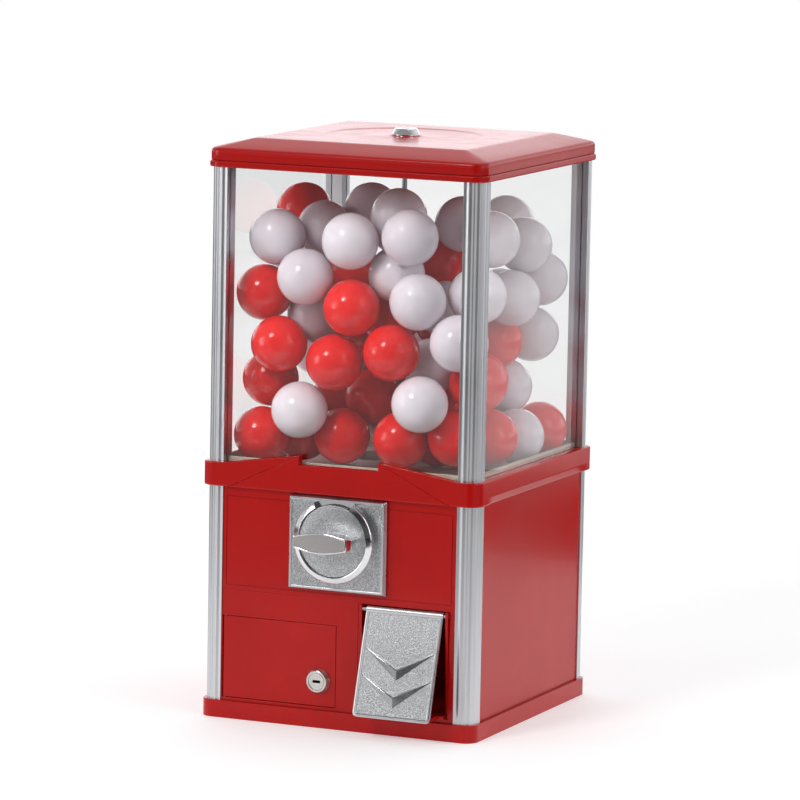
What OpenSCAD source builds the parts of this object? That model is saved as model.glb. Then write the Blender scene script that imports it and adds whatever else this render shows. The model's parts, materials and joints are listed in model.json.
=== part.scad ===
// Square countertop gumball machine: a steel cabinet and a clear globe between aluminium corner posts,
// with a coin mechanism that turns a product wheel by a pinion, a chute, a cash door and a lifting lid.
// The origin is the centre of the base's underside, +Z is up and the front faces -Y.

/* [Cabinet] */
// Width and depth over the corner posts
cabinet_w = 234; // [226:1:246]
// Amount that the base stands proud of the posts
base_proud = 2; // [1:0.5:4]
// Height of the base pan
base_h = 14; // [12:0.5:18]
// Thickness of the base pan's floor
base_floor = 3; // [2:0.5:5]
// Width of the rim around the base pan, that posts and panels stand on
base_rim = 19; // [18.5:0.5:24]
// Radius of the rounded outer corners
corner_r = 11; // [8:1:14]
// Height of the cabinet between the base and the collar
lower_h = 172.5; // [168:0.5:190]
// Thickness of the sheet steel panels
sheet_t = 2; // [1.2:0.2:2.4]
// Radius of the four stand bolt holes in the base
stand_hole_r = 3.5; // [2.5:0.5:5]
// Distance between the stand bolt holes, both ways
stand_pitch = 150; // [110:5:170]

/* [Posts] */
// Width of a square corner post
post_w = 16; // [14:0.5:18]
// Depth of the slots that hold the panels and windows
slot_depth = 4; // [3:0.5:5]
// Depth of the flutes along a post's round outer corner
flute_depth = 0.5; // [0.3:0.1:0.8]

/* [Collar] */
// Amount that the collar stands proud of the posts
collar_proud = 3; // [2.5:0.5:5]
// Height of the collar
collar_h = 19.2; // [18:0.2:24]
// Thickness of the collar's outer wall
collar_wall = 11; // [10.5:0.5:12.5]
// Height of the ledge at the collar's foot
ledge_h = 3.2; // [2:0.2:4]
// Width of the ledge that carries the hopper
ledge_w = 4.5; // [3:0.5:6]
// Height of the two wings above the collar
wing_h = 10; // [6:0.5:14]
// Distance from the middle to the steep end of each wing
wing_x = 34.3; // [25:0.5:45]
// Height of the low middle stretch above the collar
brow_h = 3; // [1:0.5:5]

/* [Globe] */
// Height of the windows
globe_h = 234; // [225:1:260]
// Thickness of the clear sheets
window_t = 2; // [1.5:0.5:3]
// Distance from a post's outer face to a window's outer face
window_in = 5; // [4:0.5:6]

/* [Lid] */
// Height of the frame under the lid
frame_h = 5.1; // [4:0.1:8]
// Width of the frame under the lid
frame_w = 14; // [12:0.5:18]
// Amount that the frame stands proud of the posts
frame_proud = 2.5; // [1.5:0.5:4]
// Amount that the lid stands proud of the posts
lid_proud = 1.5; // [1:0.5:3]
// Height of the lid's upright edge
lid_edge_h = 9.8; // [6:0.2:14]
// Height of the slope above the upright edge
lid_slope_h = 7.3; // [5:0.1:10]
// Width of the slope
lid_slope_w = 27.2; // [20:0.2:35]
// Wall of the lid
lid_wall = 2.4; // [1.6:0.2:3]
// Radius of the lid lock's barrel
lid_barrel_r = 7.5; // [6.5:0.5:8]
// Length of the lid lock's barrel below the lid
lid_barrel_l = 20; // [12:1:26]
// Radius of the lid lock's head at its foot
lid_head_r = 11.5; // [10:0.5:14]
// Height of the lid lock's head
lid_head_h = 5.6; // [4:0.2:8]

/* [Front] */
// Width of the chute opening
mouth_w = 76; // [72:1:80]
// Distance from the middle to the chute opening
mouth_x = 20; // [19:0.5:22]
// Height of the chute opening
mouth_h = 85.5; // [80:0.5:90]
// Distance from the base to the chute opening and the cash door
sill_h = 3; // [2.5:0.5:5]
// Width of the cash door
cash_w = 98.6; // [90:0.2:99]
// Height of the cash door
cash_h = 65.4; // [60:0.2:75]
// Thickness of the cash door
cash_t = 3; // [2.8:0.2:4]
// Radius of the cash door's hinge pins
cash_pin_r = 0.8; // [0.6:0.1:0.9]
// Distance from the cash door's free edge to its lock
lock_x = 14.6; // [13:0.2:20]
// Distance from the cash door's foot to its lock
lock_z = 20.7; // [20:0.1:30]
// Radius of the cash lock's barrel
lock_r = 8; // [7:0.5:9]
// Length of the cash lock's barrel
lock_l = 12; // [11:0.5:14]
// Radius of the cash lock's head
lock_head_r = 10.2; // [9:0.2:12]
// Height of the cash lock's head
lock_head_h = 4.5; // [3:0.5:6]
// Radius of the turning plug in both locks
plug_r = 4.5; // [4:0.5:5.5]
// Reach of the cash lock's cam
cam_reach = 18; // [16:0.5:19]

/* [Coin mechanism] */
// Width of the coin plate
plate_w = 84; // [80:1:90]
// Height of the coin plate
plate_h = 75.5; // [73:0.5:78]
// Thickness of the coin plate
plate_t = 5.5; // [4:0.5:7]
// Distance from the collar down to the coin plate
plate_drop = 1; // [0.5:0.5:3]
// Distance from the coin plate's top edge down to the handle's axis
axis_drop = 33.5; // [32.5:0.5:35]
// Outer radius of the coin plate's ring
ring_r = 34; // [33:0.5:36]
// Wall of the ring
ring_wall = 5; // [4:0.5:6]
// Height of the ring above the coin plate
ring_h = 8.5; // [7:0.5:10]
// Height of the flat that carries the coin slot, above the axis
ring_flat = 31; // [30.2:0.2:31.6]
// Diameter of the coin
coin_d = 24; // [20:0.5:26]
// Thickness of the coin
coin_t = 2; // [1.4:0.2:2.2]
// Length of the handle's bar
bar_l = 49; // [44:0.5:52]
// Height of the handle's bar at its middle
bar_h = 15; // [12:0.5:18]
// Height of the handle's bar at its ends
bar_end_h = 8; // [6:0.5:10]
// Reach of the handle's bar in front of the ring
bar_reach = 23; // [18:0.5:26]
// Radius of the handle's shaft
shaft_r = 5; // [4:0.5:6]
// Outer radius of the housing behind the front panel
housing_r = 33; // [32:0.5:34]
// Depth of that housing
housing_l = 16; // [15:0.5:18]

/* [Drive] */
// Number of pinion teeth
pinion_teeth = 10; // [10]
// Number of pegs under the product wheel
wheel_pegs = 40; // [40]
// Pitch radius of the pinion
pinion_pitch_r = 22; // [21.8:0.1:22.2]
// Height of a pinion tooth above its pitch circle
tooth_up = 2; // [1.5:0.1:2.2]
// Width of a pinion tooth
tooth_w = 4.6; // [3.5:0.1:5]
// Face width of the pinion
pinion_w = 12; // [9:0.5:13]
// Radius of a peg
peg_r = 2; // [1.5:0.1:2.3]
// Radius of the product wheel
wheel_r = 100; // [97:0.5:100.5]
// Thickness of the product wheel
wheel_t = 18; // [14:0.5:18.5]
// Number of pockets in the product wheel
pockets = 4; // [3:1:5]
// Distance from the wheel's centre to a pocket's centre
pocket_pitch = 54; // [50:0.5:56]
// Radius of the journal that the product wheel turns on
journal_r = 6; // [5:0.5:8]
// Radius of the centre rod
rod_r = 2; // [1.5:0.5:3]

/* [Hopper] */
// Wall of the hopper's rim
rim_t = 2; // [1.5:0.5:3]
// Height of the hopper's rim above the collar
rim_up = 3.8; // [2:0.2:4]
// Thickness of the hopper's deck and floor
deck_t = 3; // [2:0.5:4]
// Thickness of the guard plate over the drop hole
guard_t = 2; // [1.5:0.5:2.5]
// Gap between the product wheel and the guard plate
guard_gap = 1; // [0.5:0.5:2]

/* [Chute] */
// Thickness of the chute's walls
chute_t = 2; // [1.5:0.5:2.5]
// Width of the chute door
door_w = 65.5; // [62:0.5:68]
// Length of the chute door
door_l = 85; // [80:0.5:86]
// Thickness of the chute door
door_t = 2.4; // [2:0.2:3]
// Angle at which the closed door rests on the chute's lip
door_tilt = 16.7; // [15:0.1:17.5]
// Radius of the chute door's pin
door_pin_r = 1.5; // [1:0.1:1.8]
// Radius of the chute door's rolled knuckle
knuckle_r = 3; // [2.6:0.1:3.2]

/* [Balls] */
// Diameter of a ball
ball_d = 45; // [43:0.5:45]
// Height of the heap at its middle, above the collar
heap_h = 214; // [170:1:214]

/* [Hidden] */
$fn = 64;
eps = 0.01;
slide_fit = 0.1;   // all round between a sheet and its slot
turn_fit = 0.05;   // between a shaft and the bore that it turns in
door_gap = 0.4;    // around the cash door
touch = 0.1;       // between neighbouring balls

half = cabinet_w / 2;
post_in = half - post_w;
base_half = half + base_proud;
collar_z = base_h + lower_h;
collar_top = collar_z + collar_h;
collar_half = half + collar_proud;
cavity_half = collar_half - collar_wall;
frame_z = collar_top + globe_h;
lid_z = frame_z + frame_h;
lid_half = half + lid_proud;
lid_top = lid_z + lid_edge_h + lid_slope_h;

panel_out = half - 1;                 // outer face of the lower panels
panel_half = post_in + slot_depth - slide_fit;
window_out = half - window_in;
window_inner = window_out - window_t;

axis_z = collar_z - plate_drop - axis_drop;
plate_z = collar_z - plate_drop - plate_h;
plate_y = -panel_out - plate_t;
ring_y = plate_y - ring_h;
bore_r = ring_r - ring_wall;
disc_r = bore_r - 0.3;
carrier_y = plate_y + 1.2;
housing_y = -panel_out + sheet_t;
housing_back = housing_y + housing_l;
pinion_y = housing_back + 3;
tip_r = pinion_pitch_r + tooth_up;
shaft_end = pinion_y + pinion_w + 6;

pitch_plane = axis_z + pinion_pitch_r;
peg_circle = pinion_pitch_r * wheel_pegs / pinion_teeth;
peg_l = tooth_up + 3.5;
wheel_z = pitch_plane + tooth_up + 1;
wheel_top = wheel_z + wheel_t;
peg_z = wheel_z - peg_l;
well_r = wheel_r + 1.4;
well_floor = peg_z - 0.8;
hopper_half = cavity_half - 0.4;
deck_z = collar_z + ledge_h;
deck_top = deck_z + deck_t;
rim_top = collar_top + rim_up;
pocket_r = ball_d / 2 + 2.2;

sill_z = base_h + sill_h;
mouth_top = sill_z + mouth_h;
mouth_r = mouth_x + mouth_w;
door_x = mouth_x + mouth_w / 2 + 1;
knuckle_y = -panel_out - 1;
knuckle_z = mouth_top - knuckle_r - 0.6;
drop_x = pocket_pitch * cos(22);
drop_y = -pocket_pitch * sin(22);

cash_r = -1;                          // free edge of the cash door
cash_l = cash_r - cash_w;
cash_axis_x = cash_l + cash_t / 2;
cash_axis_y = -panel_out + cash_t / 2;
lock_cx = cash_r - lock_x;
lock_cz = sill_z - 0.4 + lock_z;
cash_back = -panel_out + cash_t;
cam_y = -panel_out + lock_l + 0.2;
cam_t = 2;

lip_y = -panel_out - sin(door_tilt) * (door_l - 6);

// ---- shared shapes -------------------------------------------------------------------------------

module rounded_square(h2, r) {
  union() {
    square([2 * h2 - 2 * r, 2 * h2], center = true);
    square([2 * h2, 2 * h2 - 2 * r], center = true);
    for (x = [-1, 1], y = [-1, 1]) translate([x * (h2 - r), y * (h2 - r)]) circle(r = r);
  }
}

module rounded_block(h2, r, z0, h) {
  translate([0, 0, z0]) linear_extrude(h) rounded_square(h2, r);
}

module square_prism(h2, z0, h) {
  translate([-h2, -h2, z0]) cube([2 * h2, 2 * h2, h]);
}

// a cylinder along +Y from y0
module rod_y(r, y0, l, r2 = -1) {
  translate([0, y0, 0]) rotate([-90, 0, 0]) cylinder(r1 = r, r2 = r2 < 0 ? r : r2, h = l);
}

module at_handle() {
  translate([0, 0, axis_z]) children();
}

module box(x0, x1, y0, y1, z0, z1) {
  translate([x0, y0, z0]) cube([x1 - x0, y1 - y0, z1 - z0]);
}

// an outline in X and Z, carried along +Y from y0 to y1
module front_prism(y0, y1) {
  translate([0, y1, 0]) rotate([90, 0, 0]) linear_extrude(y1 - y0) children();
}

// an outline in Y and Z, carried along +X from x0 to x1
module side_prism(x0, x1) {
  translate([x0, 0, 0]) rotate([90, 0, 90]) linear_extrude(x1 - x0) children();
}

// ---- cabinet -------------------------------------------------------------------------------------

module base_tray() {
  color("firebrick") difference() {
    rounded_block(base_half, corner_r, 0, base_h);
    square_prism(half - base_rim, base_floor, base_h);
    for (x = [-1, 1], y = [-1, 1])
      translate([x * stand_pitch / 2, y * stand_pitch / 2, -1])
        cylinder(r = stand_hole_r, h = base_floor + 2);
  }
}

// one corner post in the +X +Y corner, with slots for sheets of thickness t whose outer face is at s
module corner_post(z0, h, s, t) {
  flutes = 7;
  arc = half - corner_r;
  difference() {
    translate([0, 0, z0]) linear_extrude(h) difference() {
      intersection() {
        translate([post_in, post_in]) square(post_w);
        union() {
          square([half, arc]);
          square([arc, half]);
          translate([arc, arc]) circle(r = corner_r);
        }
      }
      for (i = [0 : flutes - 1]) translate([arc, arc]) rotate(6 + i * 13)
        translate([corner_r + flute_depth * 0.4, 0]) circle(r = flute_depth * 1.4, $fn = 16);
    }
    box(post_in - 1, post_in + slot_depth, s - t - slide_fit, s + slide_fit, z0 - 1, z0 + h + 1);
    box(s - t - slide_fit, s + slide_fit, post_in - 1, post_in + slot_depth, z0 - 1, z0 + h + 1);
  }
}

module lower_post(mx, my) {
  color("silver") scale([mx, my, 1]) corner_post(base_h, lower_h, panel_out, sheet_t);
}

module upper_post(mx, my) {
  color("silver") scale([mx, my, 1]) corner_post(collar_top, globe_h, window_out, window_t);
}

module lower_post_front_left() { lower_post(-1, -1); }
module lower_post_front_right() { lower_post(1, -1); }
module lower_post_back_left() { lower_post(-1, 1); }
module lower_post_back_right() { lower_post(1, 1); }
module upper_post_front_left() { upper_post(-1, -1); }
module upper_post_front_right() { upper_post(1, -1); }
module upper_post_back_left() { upper_post(-1, 1); }
module upper_post_back_right() { upper_post(1, 1); }

module groove_frame(x0, x1, z0, z1) {
  g = 1;
  difference() {
    box(x0, x1, -panel_out - 1, -panel_out + 0.5, z0, z1);
    box(x0 + g, x1 - g, -panel_out - 2, -panel_out + 1, z0 + g, z1 - g);
  }
}

module front_panel() {
  strike_x = cash_r + 1.2;
  color("firebrick") difference() {
    union() {
      box(-panel_half, panel_half, -panel_out, -panel_out + sheet_t, base_h, collar_z);
      // lugs above and below the cash door's hinge
      for (z = [base_h, sill_z - door_gap + cash_h + 2 * door_gap])
        box(cash_l - 1.2, cash_l + cash_t + 2, -panel_out, cash_back + 1, z,
            z == base_h ? sill_z - door_gap : z + 4);
      // strike behind which the lock's cam turns
      box(strike_x, strike_x + 9, cam_y - 3.2, cam_y - 1.2, lock_cz - 9, lock_cz + 9);
      box(strike_x + 7, strike_x + 9, -panel_out + 1, cam_y - 1.2, lock_cz - 9, lock_cz + 9);
    }
    box(mouth_x, mouth_r, -panel_out - 1, -panel_out + sheet_t + 1, sill_z, mouth_top);
    box(cash_l - door_gap, cash_r + door_gap, -panel_out - 1, -panel_out + sheet_t + 0.001,
        sill_z - door_gap, sill_z + cash_h + door_gap);
    at_handle() rod_y(bore_r + 1, -panel_out - 1, sheet_t + 2);
    groove_frame(-panel_half + 7, panel_half - 7, plate_z - 2.5, collar_z - 7);
    translate([cash_axis_x, cash_axis_y, base_h - 1]) cylinder(r = cash_pin_r, h = cash_h + 12);
  }
}

module back_panel() {
  color("firebrick") box(-panel_half, panel_half, panel_out - sheet_t, panel_out, base_h, collar_z);
}

module side_panel(s) {
  color("firebrick") scale([s, 1, 1])
    box(panel_out - sheet_t, panel_out, -panel_half, panel_half, base_h, collar_z);
}

module left_panel() { side_panel(-1); }
module right_panel() { side_panel(1); }

module mid_collar() {
  front = -collar_half;
  wing_back = -window_out - 0.2;
  color("firebrick") difference() {
    union() {
      rounded_block(collar_half, corner_r, collar_z, collar_h);
      // the front's two wings and the low brow between them
      front_prism(front, wing_back) polygon([
        [-post_in, collar_top - 1], [post_in, collar_top - 1], [post_in, collar_top],
        [wing_x, collar_top + wing_h], [wing_x, collar_top + brow_h],
        [-wing_x, collar_top + brow_h], [-wing_x, collar_top + wing_h], [-post_in, collar_top]
      ]);
    }
    square_prism(cavity_half, collar_z + ledge_h, collar_h);
    square_prism(cavity_half - ledge_w, collar_z - 1, collar_h);
    // the middle of the front lies a little deeper than the wings
    front_prism(front - 1, front + 1) polygon([
      [-post_in + 6, collar_z + 0.6], [post_in - 6, collar_z + 0.6],
      [wing_x, collar_top + wing_h], [wing_x, collar_top + wing_h + 1],
      [-wing_x, collar_top + wing_h + 1], [-wing_x, collar_top + wing_h]
    ]);
  }
}

// ---- globe ---------------------------------------------------------------------------------------

module window(angle) {
  color([0.85, 0.93, 0.97, 0.35]) rotate(angle)
    box(-panel_half, panel_half, -window_out, -window_inner, collar_top, frame_z);
}

module front_window() { window(0); }
module right_window() { window(90); }
module back_window() { window(180); }
module left_window() { window(270); }

module top_frame() {
  out = half + frame_proud;
  color("firebrick") difference() {
    rounded_block(out, corner_r + 1, frame_z, frame_h);
    square_prism(out - frame_w, frame_z - 1, frame_h + 2);
  }
}

// a shallow box with an upright edge and a slope all round, as an outline that both directions share
module lid_form(h2, r, edge_h, slope_w, slope_h) {
  top = edge_h + slope_h;
  intersection() {
    rounded_block(h2, r, lid_z, top);
    front_prism(-h2, h2) translate([0, lid_z]) lid_outline(h2, edge_h, slope_w, top);
    side_prism(-h2, h2) translate([0, lid_z]) lid_outline(h2, edge_h, slope_w, top);
  }
}

module lid_outline(h2, edge_h, slope_w, top) {
  polygon([[-h2, 0], [h2, 0], [h2, edge_h], [h2 - slope_w, top], [-h2 + slope_w, top], [-h2, edge_h]]);
}

module lid() {
  color("firebrick") difference() {
    lid_form(lid_half, corner_r, lid_edge_h, lid_slope_w, lid_slope_h);
    translate([0, 0, -lid_wall])
      lid_form(lid_half - 10, corner_r - 4, lid_edge_h + 0.6, lid_slope_w - 8, lid_slope_h - 0.6);
    translate([0, 0, lid_z - lid_wall - 1]) linear_extrude(lid_wall + 2)
      square(2 * lid_half - 20, center = true);
    translate([0, 0, lid_z]) cylinder(r = lid_barrel_r + turn_fit, h = lid_edge_h + lid_slope_h + 1);
  }
}

module lid_lock_body() {
  color("gainsboro") difference() {
    translate([0, 0, lid_top - lid_barrel_l]) rotate_extrude() polygon([
      [0, 0], [lid_barrel_r, 0], [lid_barrel_r, lid_barrel_l], [lid_head_r, lid_barrel_l],
      [lid_head_r, lid_barrel_l + 1], [lid_head_r - 2.6, lid_barrel_l + lid_head_h],
      [0, lid_barrel_l + lid_head_h]
    ]);
    translate([0, 0, lid_top - lid_barrel_l - 1])
      cylinder(r = plug_r + turn_fit, h = lid_barrel_l + lid_head_h + 2);
  }
}

module lid_lock_plug() {
  plug_l = lid_barrel_l + lid_head_h - 0.4;
  color("silver") difference() {
    translate([0, 0, lid_top - lid_barrel_l]) cylinder(r = plug_r, h = plug_l);
    box(-3, 3, -0.6, 0.6, lid_top + lid_head_h - 4, lid_top + lid_head_h + 1);
  }
}

rod_top = lid_top - lid_barrel_l - 0.3;
nut_h = 3.2;

module centre_rod() {
  color("silver") union() {
    translate([0, 0, well_floor - deck_t - 8]) cylinder(r = rod_r, h = rod_top - well_floor + deck_t + 8);
    translate([0, 0, well_floor]) cylinder(r = journal_r, h = wheel_top - well_floor + 1);
  }
}

module nut(r, h, af) {
  difference() {
    cylinder(r = af / 2 / cos(30), h = h, $fn = 6);
    translate([0, 0, -1]) cylinder(r = r, h = h + 2);
  }
}

module rod_nuts() {
  color("goldenrod") {
    translate([0, 0, lid_top - lid_barrel_l - nut_h - 3]) nut(rod_r, nut_h, 3.4 * rod_r + 1);
    translate([0, 0, well_floor - deck_t - nut_h]) nut(rod_r, nut_h, 3.4 * rod_r + 1);
    translate([0, 0, wheel_top + 1]) nut(rod_r, nut_h, 3.4 * rod_r + 1);
  }
}

// ---- hopper and product wheel --------------------------------------------------------------------

module hopper_pan() {
  trench_in = peg_circle - peg_r - 3;
  corner = post_in - 0.3;
  color("gainsboro") difference() {
    union() {
      square_prism(hopper_half, deck_z, rim_top - deck_z);
      translate([0, 0, well_floor - deck_t])
        cylinder(r = well_r + deck_t, h = deck_z - well_floor + deck_t + 1);
    }
    square_prism(hopper_half - rim_t, deck_top, 100);
    // well for the product wheel, and the ring-shaped trench that its pegs run in
    translate([0, 0, wheel_z - 1]) cylinder(r = well_r, h = 100);
    translate([0, 0, well_floor]) difference() {
      cylinder(r = well_r, h = wheel_z - well_floor);
      translate([0, 0, -1]) cylinder(r = trench_in, h = wheel_z - well_floor + 2);
    }
    // window through which the pinion reaches the pegs
    box(-tip_r - 1.5, tip_r + 1.5, pinion_y - 1.5, pinion_y + pinion_w + 1.5,
        well_floor - deck_t - 1, wheel_z);
    translate([drop_x, drop_y, well_floor - deck_t - 1]) cylinder(r = pocket_r, h = wheel_z);
    translate([0, 0, well_floor - deck_t - 1]) cylinder(r = rod_r, h = 100);
    translate([0, 0, well_floor]) cylinder(r = journal_r, h = 100);
    // notches for the upper corner posts
    for (x = [-1, 1], y = [-1, 1]) scale([x, y, 1])
      box(corner, half, corner, half, collar_top - 0.2, rim_top + 1);
  }
}

module product_wheel() {
  color("whitesmoke") difference() {
    union() {
      translate([0, 0, wheel_z]) cylinder(r = wheel_r, h = wheel_t);
      for (i = [0 : wheel_pegs - 1]) rotate(-90 + (i + 0.5) * 360 / wheel_pegs)
        translate([peg_circle, 0, peg_z]) cylinder(r = peg_r, h = peg_l + 1);
    }
    for (i = [0 : pockets - 1]) rotate(45 + i * 360 / pockets)
      translate([pocket_pitch, 0, wheel_z - 1]) cylinder(r = pocket_r, h = wheel_t + 2);
    translate([0, 0, wheel_z - 1]) cylinder(r = journal_r + turn_fit, h = wheel_t + 2);
  }
}

// plate over the drop hole, on two feet that stand on the deck
module ball_guard() {
  z0 = wheel_top + guard_gap;
  r = well_r + 4;
  color("gainsboro") union() {
    intersection() {
      translate([0, 0, z0]) cylinder(r = r, h = guard_t);
      box(journal_r + 12, hopper_half - rim_t - 0.3, -hopper_half + rim_t + 0.3, -journal_r - 2,
          z0, z0 + guard_t);
    }
    for (a = [-38, -52])
      rotate(a) translate([well_r + 6, 0, deck_top]) cylinder(r = 4, h = z0 + guard_t - deck_top);
  }
}

// ---- coin mechanism ------------------------------------------------------------------------------

module coin_plate() {
  slot_y = plate_y - ring_h / 2;
  color("silver") difference() {
    union() {
      box(-plate_w / 2, plate_w / 2, plate_y, -panel_out, plate_z, plate_z + plate_h);
      at_handle() difference() {
        rod_y(ring_r, ring_y, ring_h + 1);
        box(-ring_r, ring_r, ring_y - 1, plate_y, ring_flat, ring_r + 1);
      }
    }
    at_handle() {
      rod_y(bore_r, ring_y - 1, ring_h + plate_t + 2);
      box(-coin_d / 2 - 0.6, coin_d / 2 + 0.6, slot_y - coin_t / 2 - 0.4, slot_y + coin_t / 2 + 0.4,
          bore_r - 3, ring_r);
    }
    // bevelled border
    for (s = [-1, 1]) {
      translate([s * plate_w / 2, plate_y, plate_z + plate_h / 2]) rotate([0, 0, 45])
        cube([2, 2, plate_h + 2], center = true);
    }
  }
}

// turning disc with the coin's notch, and the bar that the fingers turn
module handle() {
  disc_y = ring_y + 1.4;
  slot_y = plate_y - ring_h / 2;
  bar_y = ring_y - bar_reach;
  bar_t = 6;
  color("silver") at_handle() difference() {
    union() {
      rod_y(disc_r, disc_y, carrier_y - disc_y);
      // bar: a boat-shaped grip along X, on a narrower root
      intersection() {
        front_prism(bar_y, disc_y + 1) polygon([
          [-bar_l / 2, -bar_end_h / 2], [-bar_l / 5, -bar_h / 2],
          [bar_l / 5, -bar_h / 2], [bar_l / 2, -bar_end_h / 2],
          [bar_l / 2, bar_end_h / 2], [bar_l / 5, bar_h / 2],
          [-bar_l / 5, bar_h / 2], [-bar_l / 2, bar_end_h / 2]
        ]);
        side_prism(-bar_l / 2, bar_l / 2) polygon([
          [bar_y, -bar_h / 2], [bar_y + bar_t, -bar_h / 2 + 0.6], [disc_y + 1, -bar_h / 2 + 3],
          [disc_y + 1, bar_h / 2 - 3], [bar_y + bar_t, bar_h / 2 - 0.6], [bar_y, bar_h / 2]
        ]);
      }
    }
    box(-coin_d / 2 - 0.3, coin_d / 2 + 0.3, slot_y - coin_t / 2 - 0.2, slot_y + coin_t / 2 + 0.2,
        disc_r - 0.6 * coin_d, ring_r);
    rod_y(shaft_r, disc_y + 2, 40);
  }
}

// disc behind the handle that carries the coin round, with its fall-out notch
module coin_carrier() {
  color("darkgray") at_handle() difference() {
    rod_y(disc_r, carrier_y, 6);
    rod_y(shaft_r, carrier_y - 1, 8);
    box(-coin_d / 2, coin_d / 2, carrier_y + 1.5, carrier_y + 1.5 + coin_t + 0.4,
        disc_r - 0.6 * coin_d, ring_r);
  }
}

module handle_shaft() {
  color("silver") at_handle() rod_y(shaft_r, ring_y + 3.4, shaft_end - ring_y - 3.4);
}

pawl_x = 25.5;
ratchet_y = housing_y + 5;
ratchet_r = 17;

module mech_housing() {
  wall = 2;
  back = 3;
  color("darkgray") at_handle() difference() {
    rod_y(housing_r, housing_y, housing_l);
    rod_y(housing_r - wall, housing_y - 1, housing_l - back + 1);
    rod_y(shaft_r + turn_fit, housing_y, housing_l + 1);
    translate([pawl_x, 0, 0]) rod_y(1.5, housing_y, housing_l + 1);
    // cut away under the hopper
    box(-housing_r, housing_r, -well_r - deck_t - 1, housing_back + 1,
        well_floor - deck_t - 1 - axis_z, housing_r);
    // coins fall out at the foot
    box(-coin_d / 2 - 1, coin_d / 2 + 1, housing_y - 1, housing_back - back,
        -housing_r - 1, -housing_r + 12);
  }
}

module ratchet_wheel() {
  teeth = 16;
  color("dimgray") at_handle() difference() {
    front_prism(ratchet_y, ratchet_y + 4) polygon([
      for (i = [0 : teeth - 1], k = [0, 1]) let (a = (i - 0.02 * k) * 360 / teeth)
        (k == 0 ? ratchet_r : ratchet_r - 2.2) * [cos(a), sin(a)]
    ]);
    rod_y(shaft_r, ratchet_y - 1, 6);
  }
}

module pawl() {
  // an arm from its pin down to just outside the ratchet's tips
  nose = [cos(38) * (ratchet_r + 0.3), -sin(38) * (ratchet_r + 0.3)];
  color("dimgray") at_handle() difference() {
    union() {
      translate([pawl_x, 0, 0]) rod_y(3, ratchet_y, 4);
      front_prism(ratchet_y, ratchet_y + 4) polygon([
        [pawl_x + 2.6, -0.5], nose + [2.2, -1.6], nose, [pawl_x - 2.4, 0.5]
      ]);
    }
    translate([pawl_x, 0, 0]) rod_y(1.5 + turn_fit, ratchet_y - 1, 6);
  }
}

module pawl_pin() {
  color("silver") at_handle()
    translate([pawl_x, 0, 0]) rod_y(1.5, ratchet_y - 2, housing_back - ratchet_y + 2);
}

module drive_pinion() {
  color("whitesmoke") at_handle() difference() {
    union() {
      rod_y(pinion_pitch_r - 3, pinion_y, pinion_w);
      for (i = [0 : pinion_teeth - 1]) rotate([0, i * 360 / pinion_teeth, 0])
        box(-tooth_w / 2, tooth_w / 2, pinion_y, pinion_y + pinion_w, pinion_pitch_r - 5, tip_r - 0.2);
      rod_y(shaft_r + 3, housing_back + 0.1, pinion_y - housing_back);
    }
    rod_y(shaft_r, housing_back - 1, pinion_w + 10);
  }
}

module shaft_nut() {
  color("goldenrod") at_handle() translate([0, pinion_y + pinion_w, 0]) rotate([-90, 0, 0])
    nut(shaft_r, 5, 3.2 * shaft_r);
}

// ---- chute ---------------------------------------------------------------------------------------

module chute() {
  x0 = mouth_x + 0.3;
  x1 = mouth_r - 0.3;
  top = well_floor - deck_t;
  back = drop_y + pocket_r + 3;
  throat = drop_y - pocket_r - 3;
  face = -panel_out + sheet_t;
  neck = mouth_top + 22;
  side = [
    [back, top], [throat, top], [throat, neck], [face, mouth_top + 3], [face, mouth_top - 0.3],
    [-panel_out - 3, mouth_top - 0.3], [-panel_out - 3, mouth_top - 10], [face, sill_z + 0.3],
    [face, base_h + 0.2], [back - 30, base_h + 0.2], [back, neck]
  ];
  color("firebrick") difference() {
    union() {
      side_prism(x0, x0 + chute_t) polygon(side);
      side_prism(x1 - chute_t, x1) polygon(side);
      // floor: a steep back, a run to the mouth and a lip that the door rests on
      side_prism(x0 + chute_t - eps, x1 - chute_t + eps) polygon([
        [back, top], [back - chute_t, top], [back - chute_t, neck], [back - 32, base_h + 16],
        [face, sill_z + 3], [lip_y + 6, sill_z + 3], [lip_y + 3, sill_z + 8], [lip_y + 1.4, sill_z + 8],
        [lip_y + 3.6, sill_z + 0.6], [face, sill_z + 0.6], [back - 31, base_h + 12], [back, neck]
      ]);
      side_prism(x0 + chute_t - eps, x1 - chute_t + eps) polygon([
        [throat, top], [throat + chute_t, top], [throat + chute_t, neck - 1], [face, mouth_top + 1],
        [face, mouth_top + 3], [throat, neck]
      ]);
    }
    translate([x0 - 1, knuckle_y, knuckle_z]) rotate([0, 90, 0]) cylinder(r = door_pin_r, h = x1 - x0 + 2);
    // the lip is narrower than the door
    for (x = [x0 - 1, door_x + door_w / 2 - 3])
      box(x, x == x0 - 1 ? door_x - door_w / 2 + 3 : x1 + 1, -half - 60, -panel_out - 3.2,
          base_h, sill_z + 20);
  }
}

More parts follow.
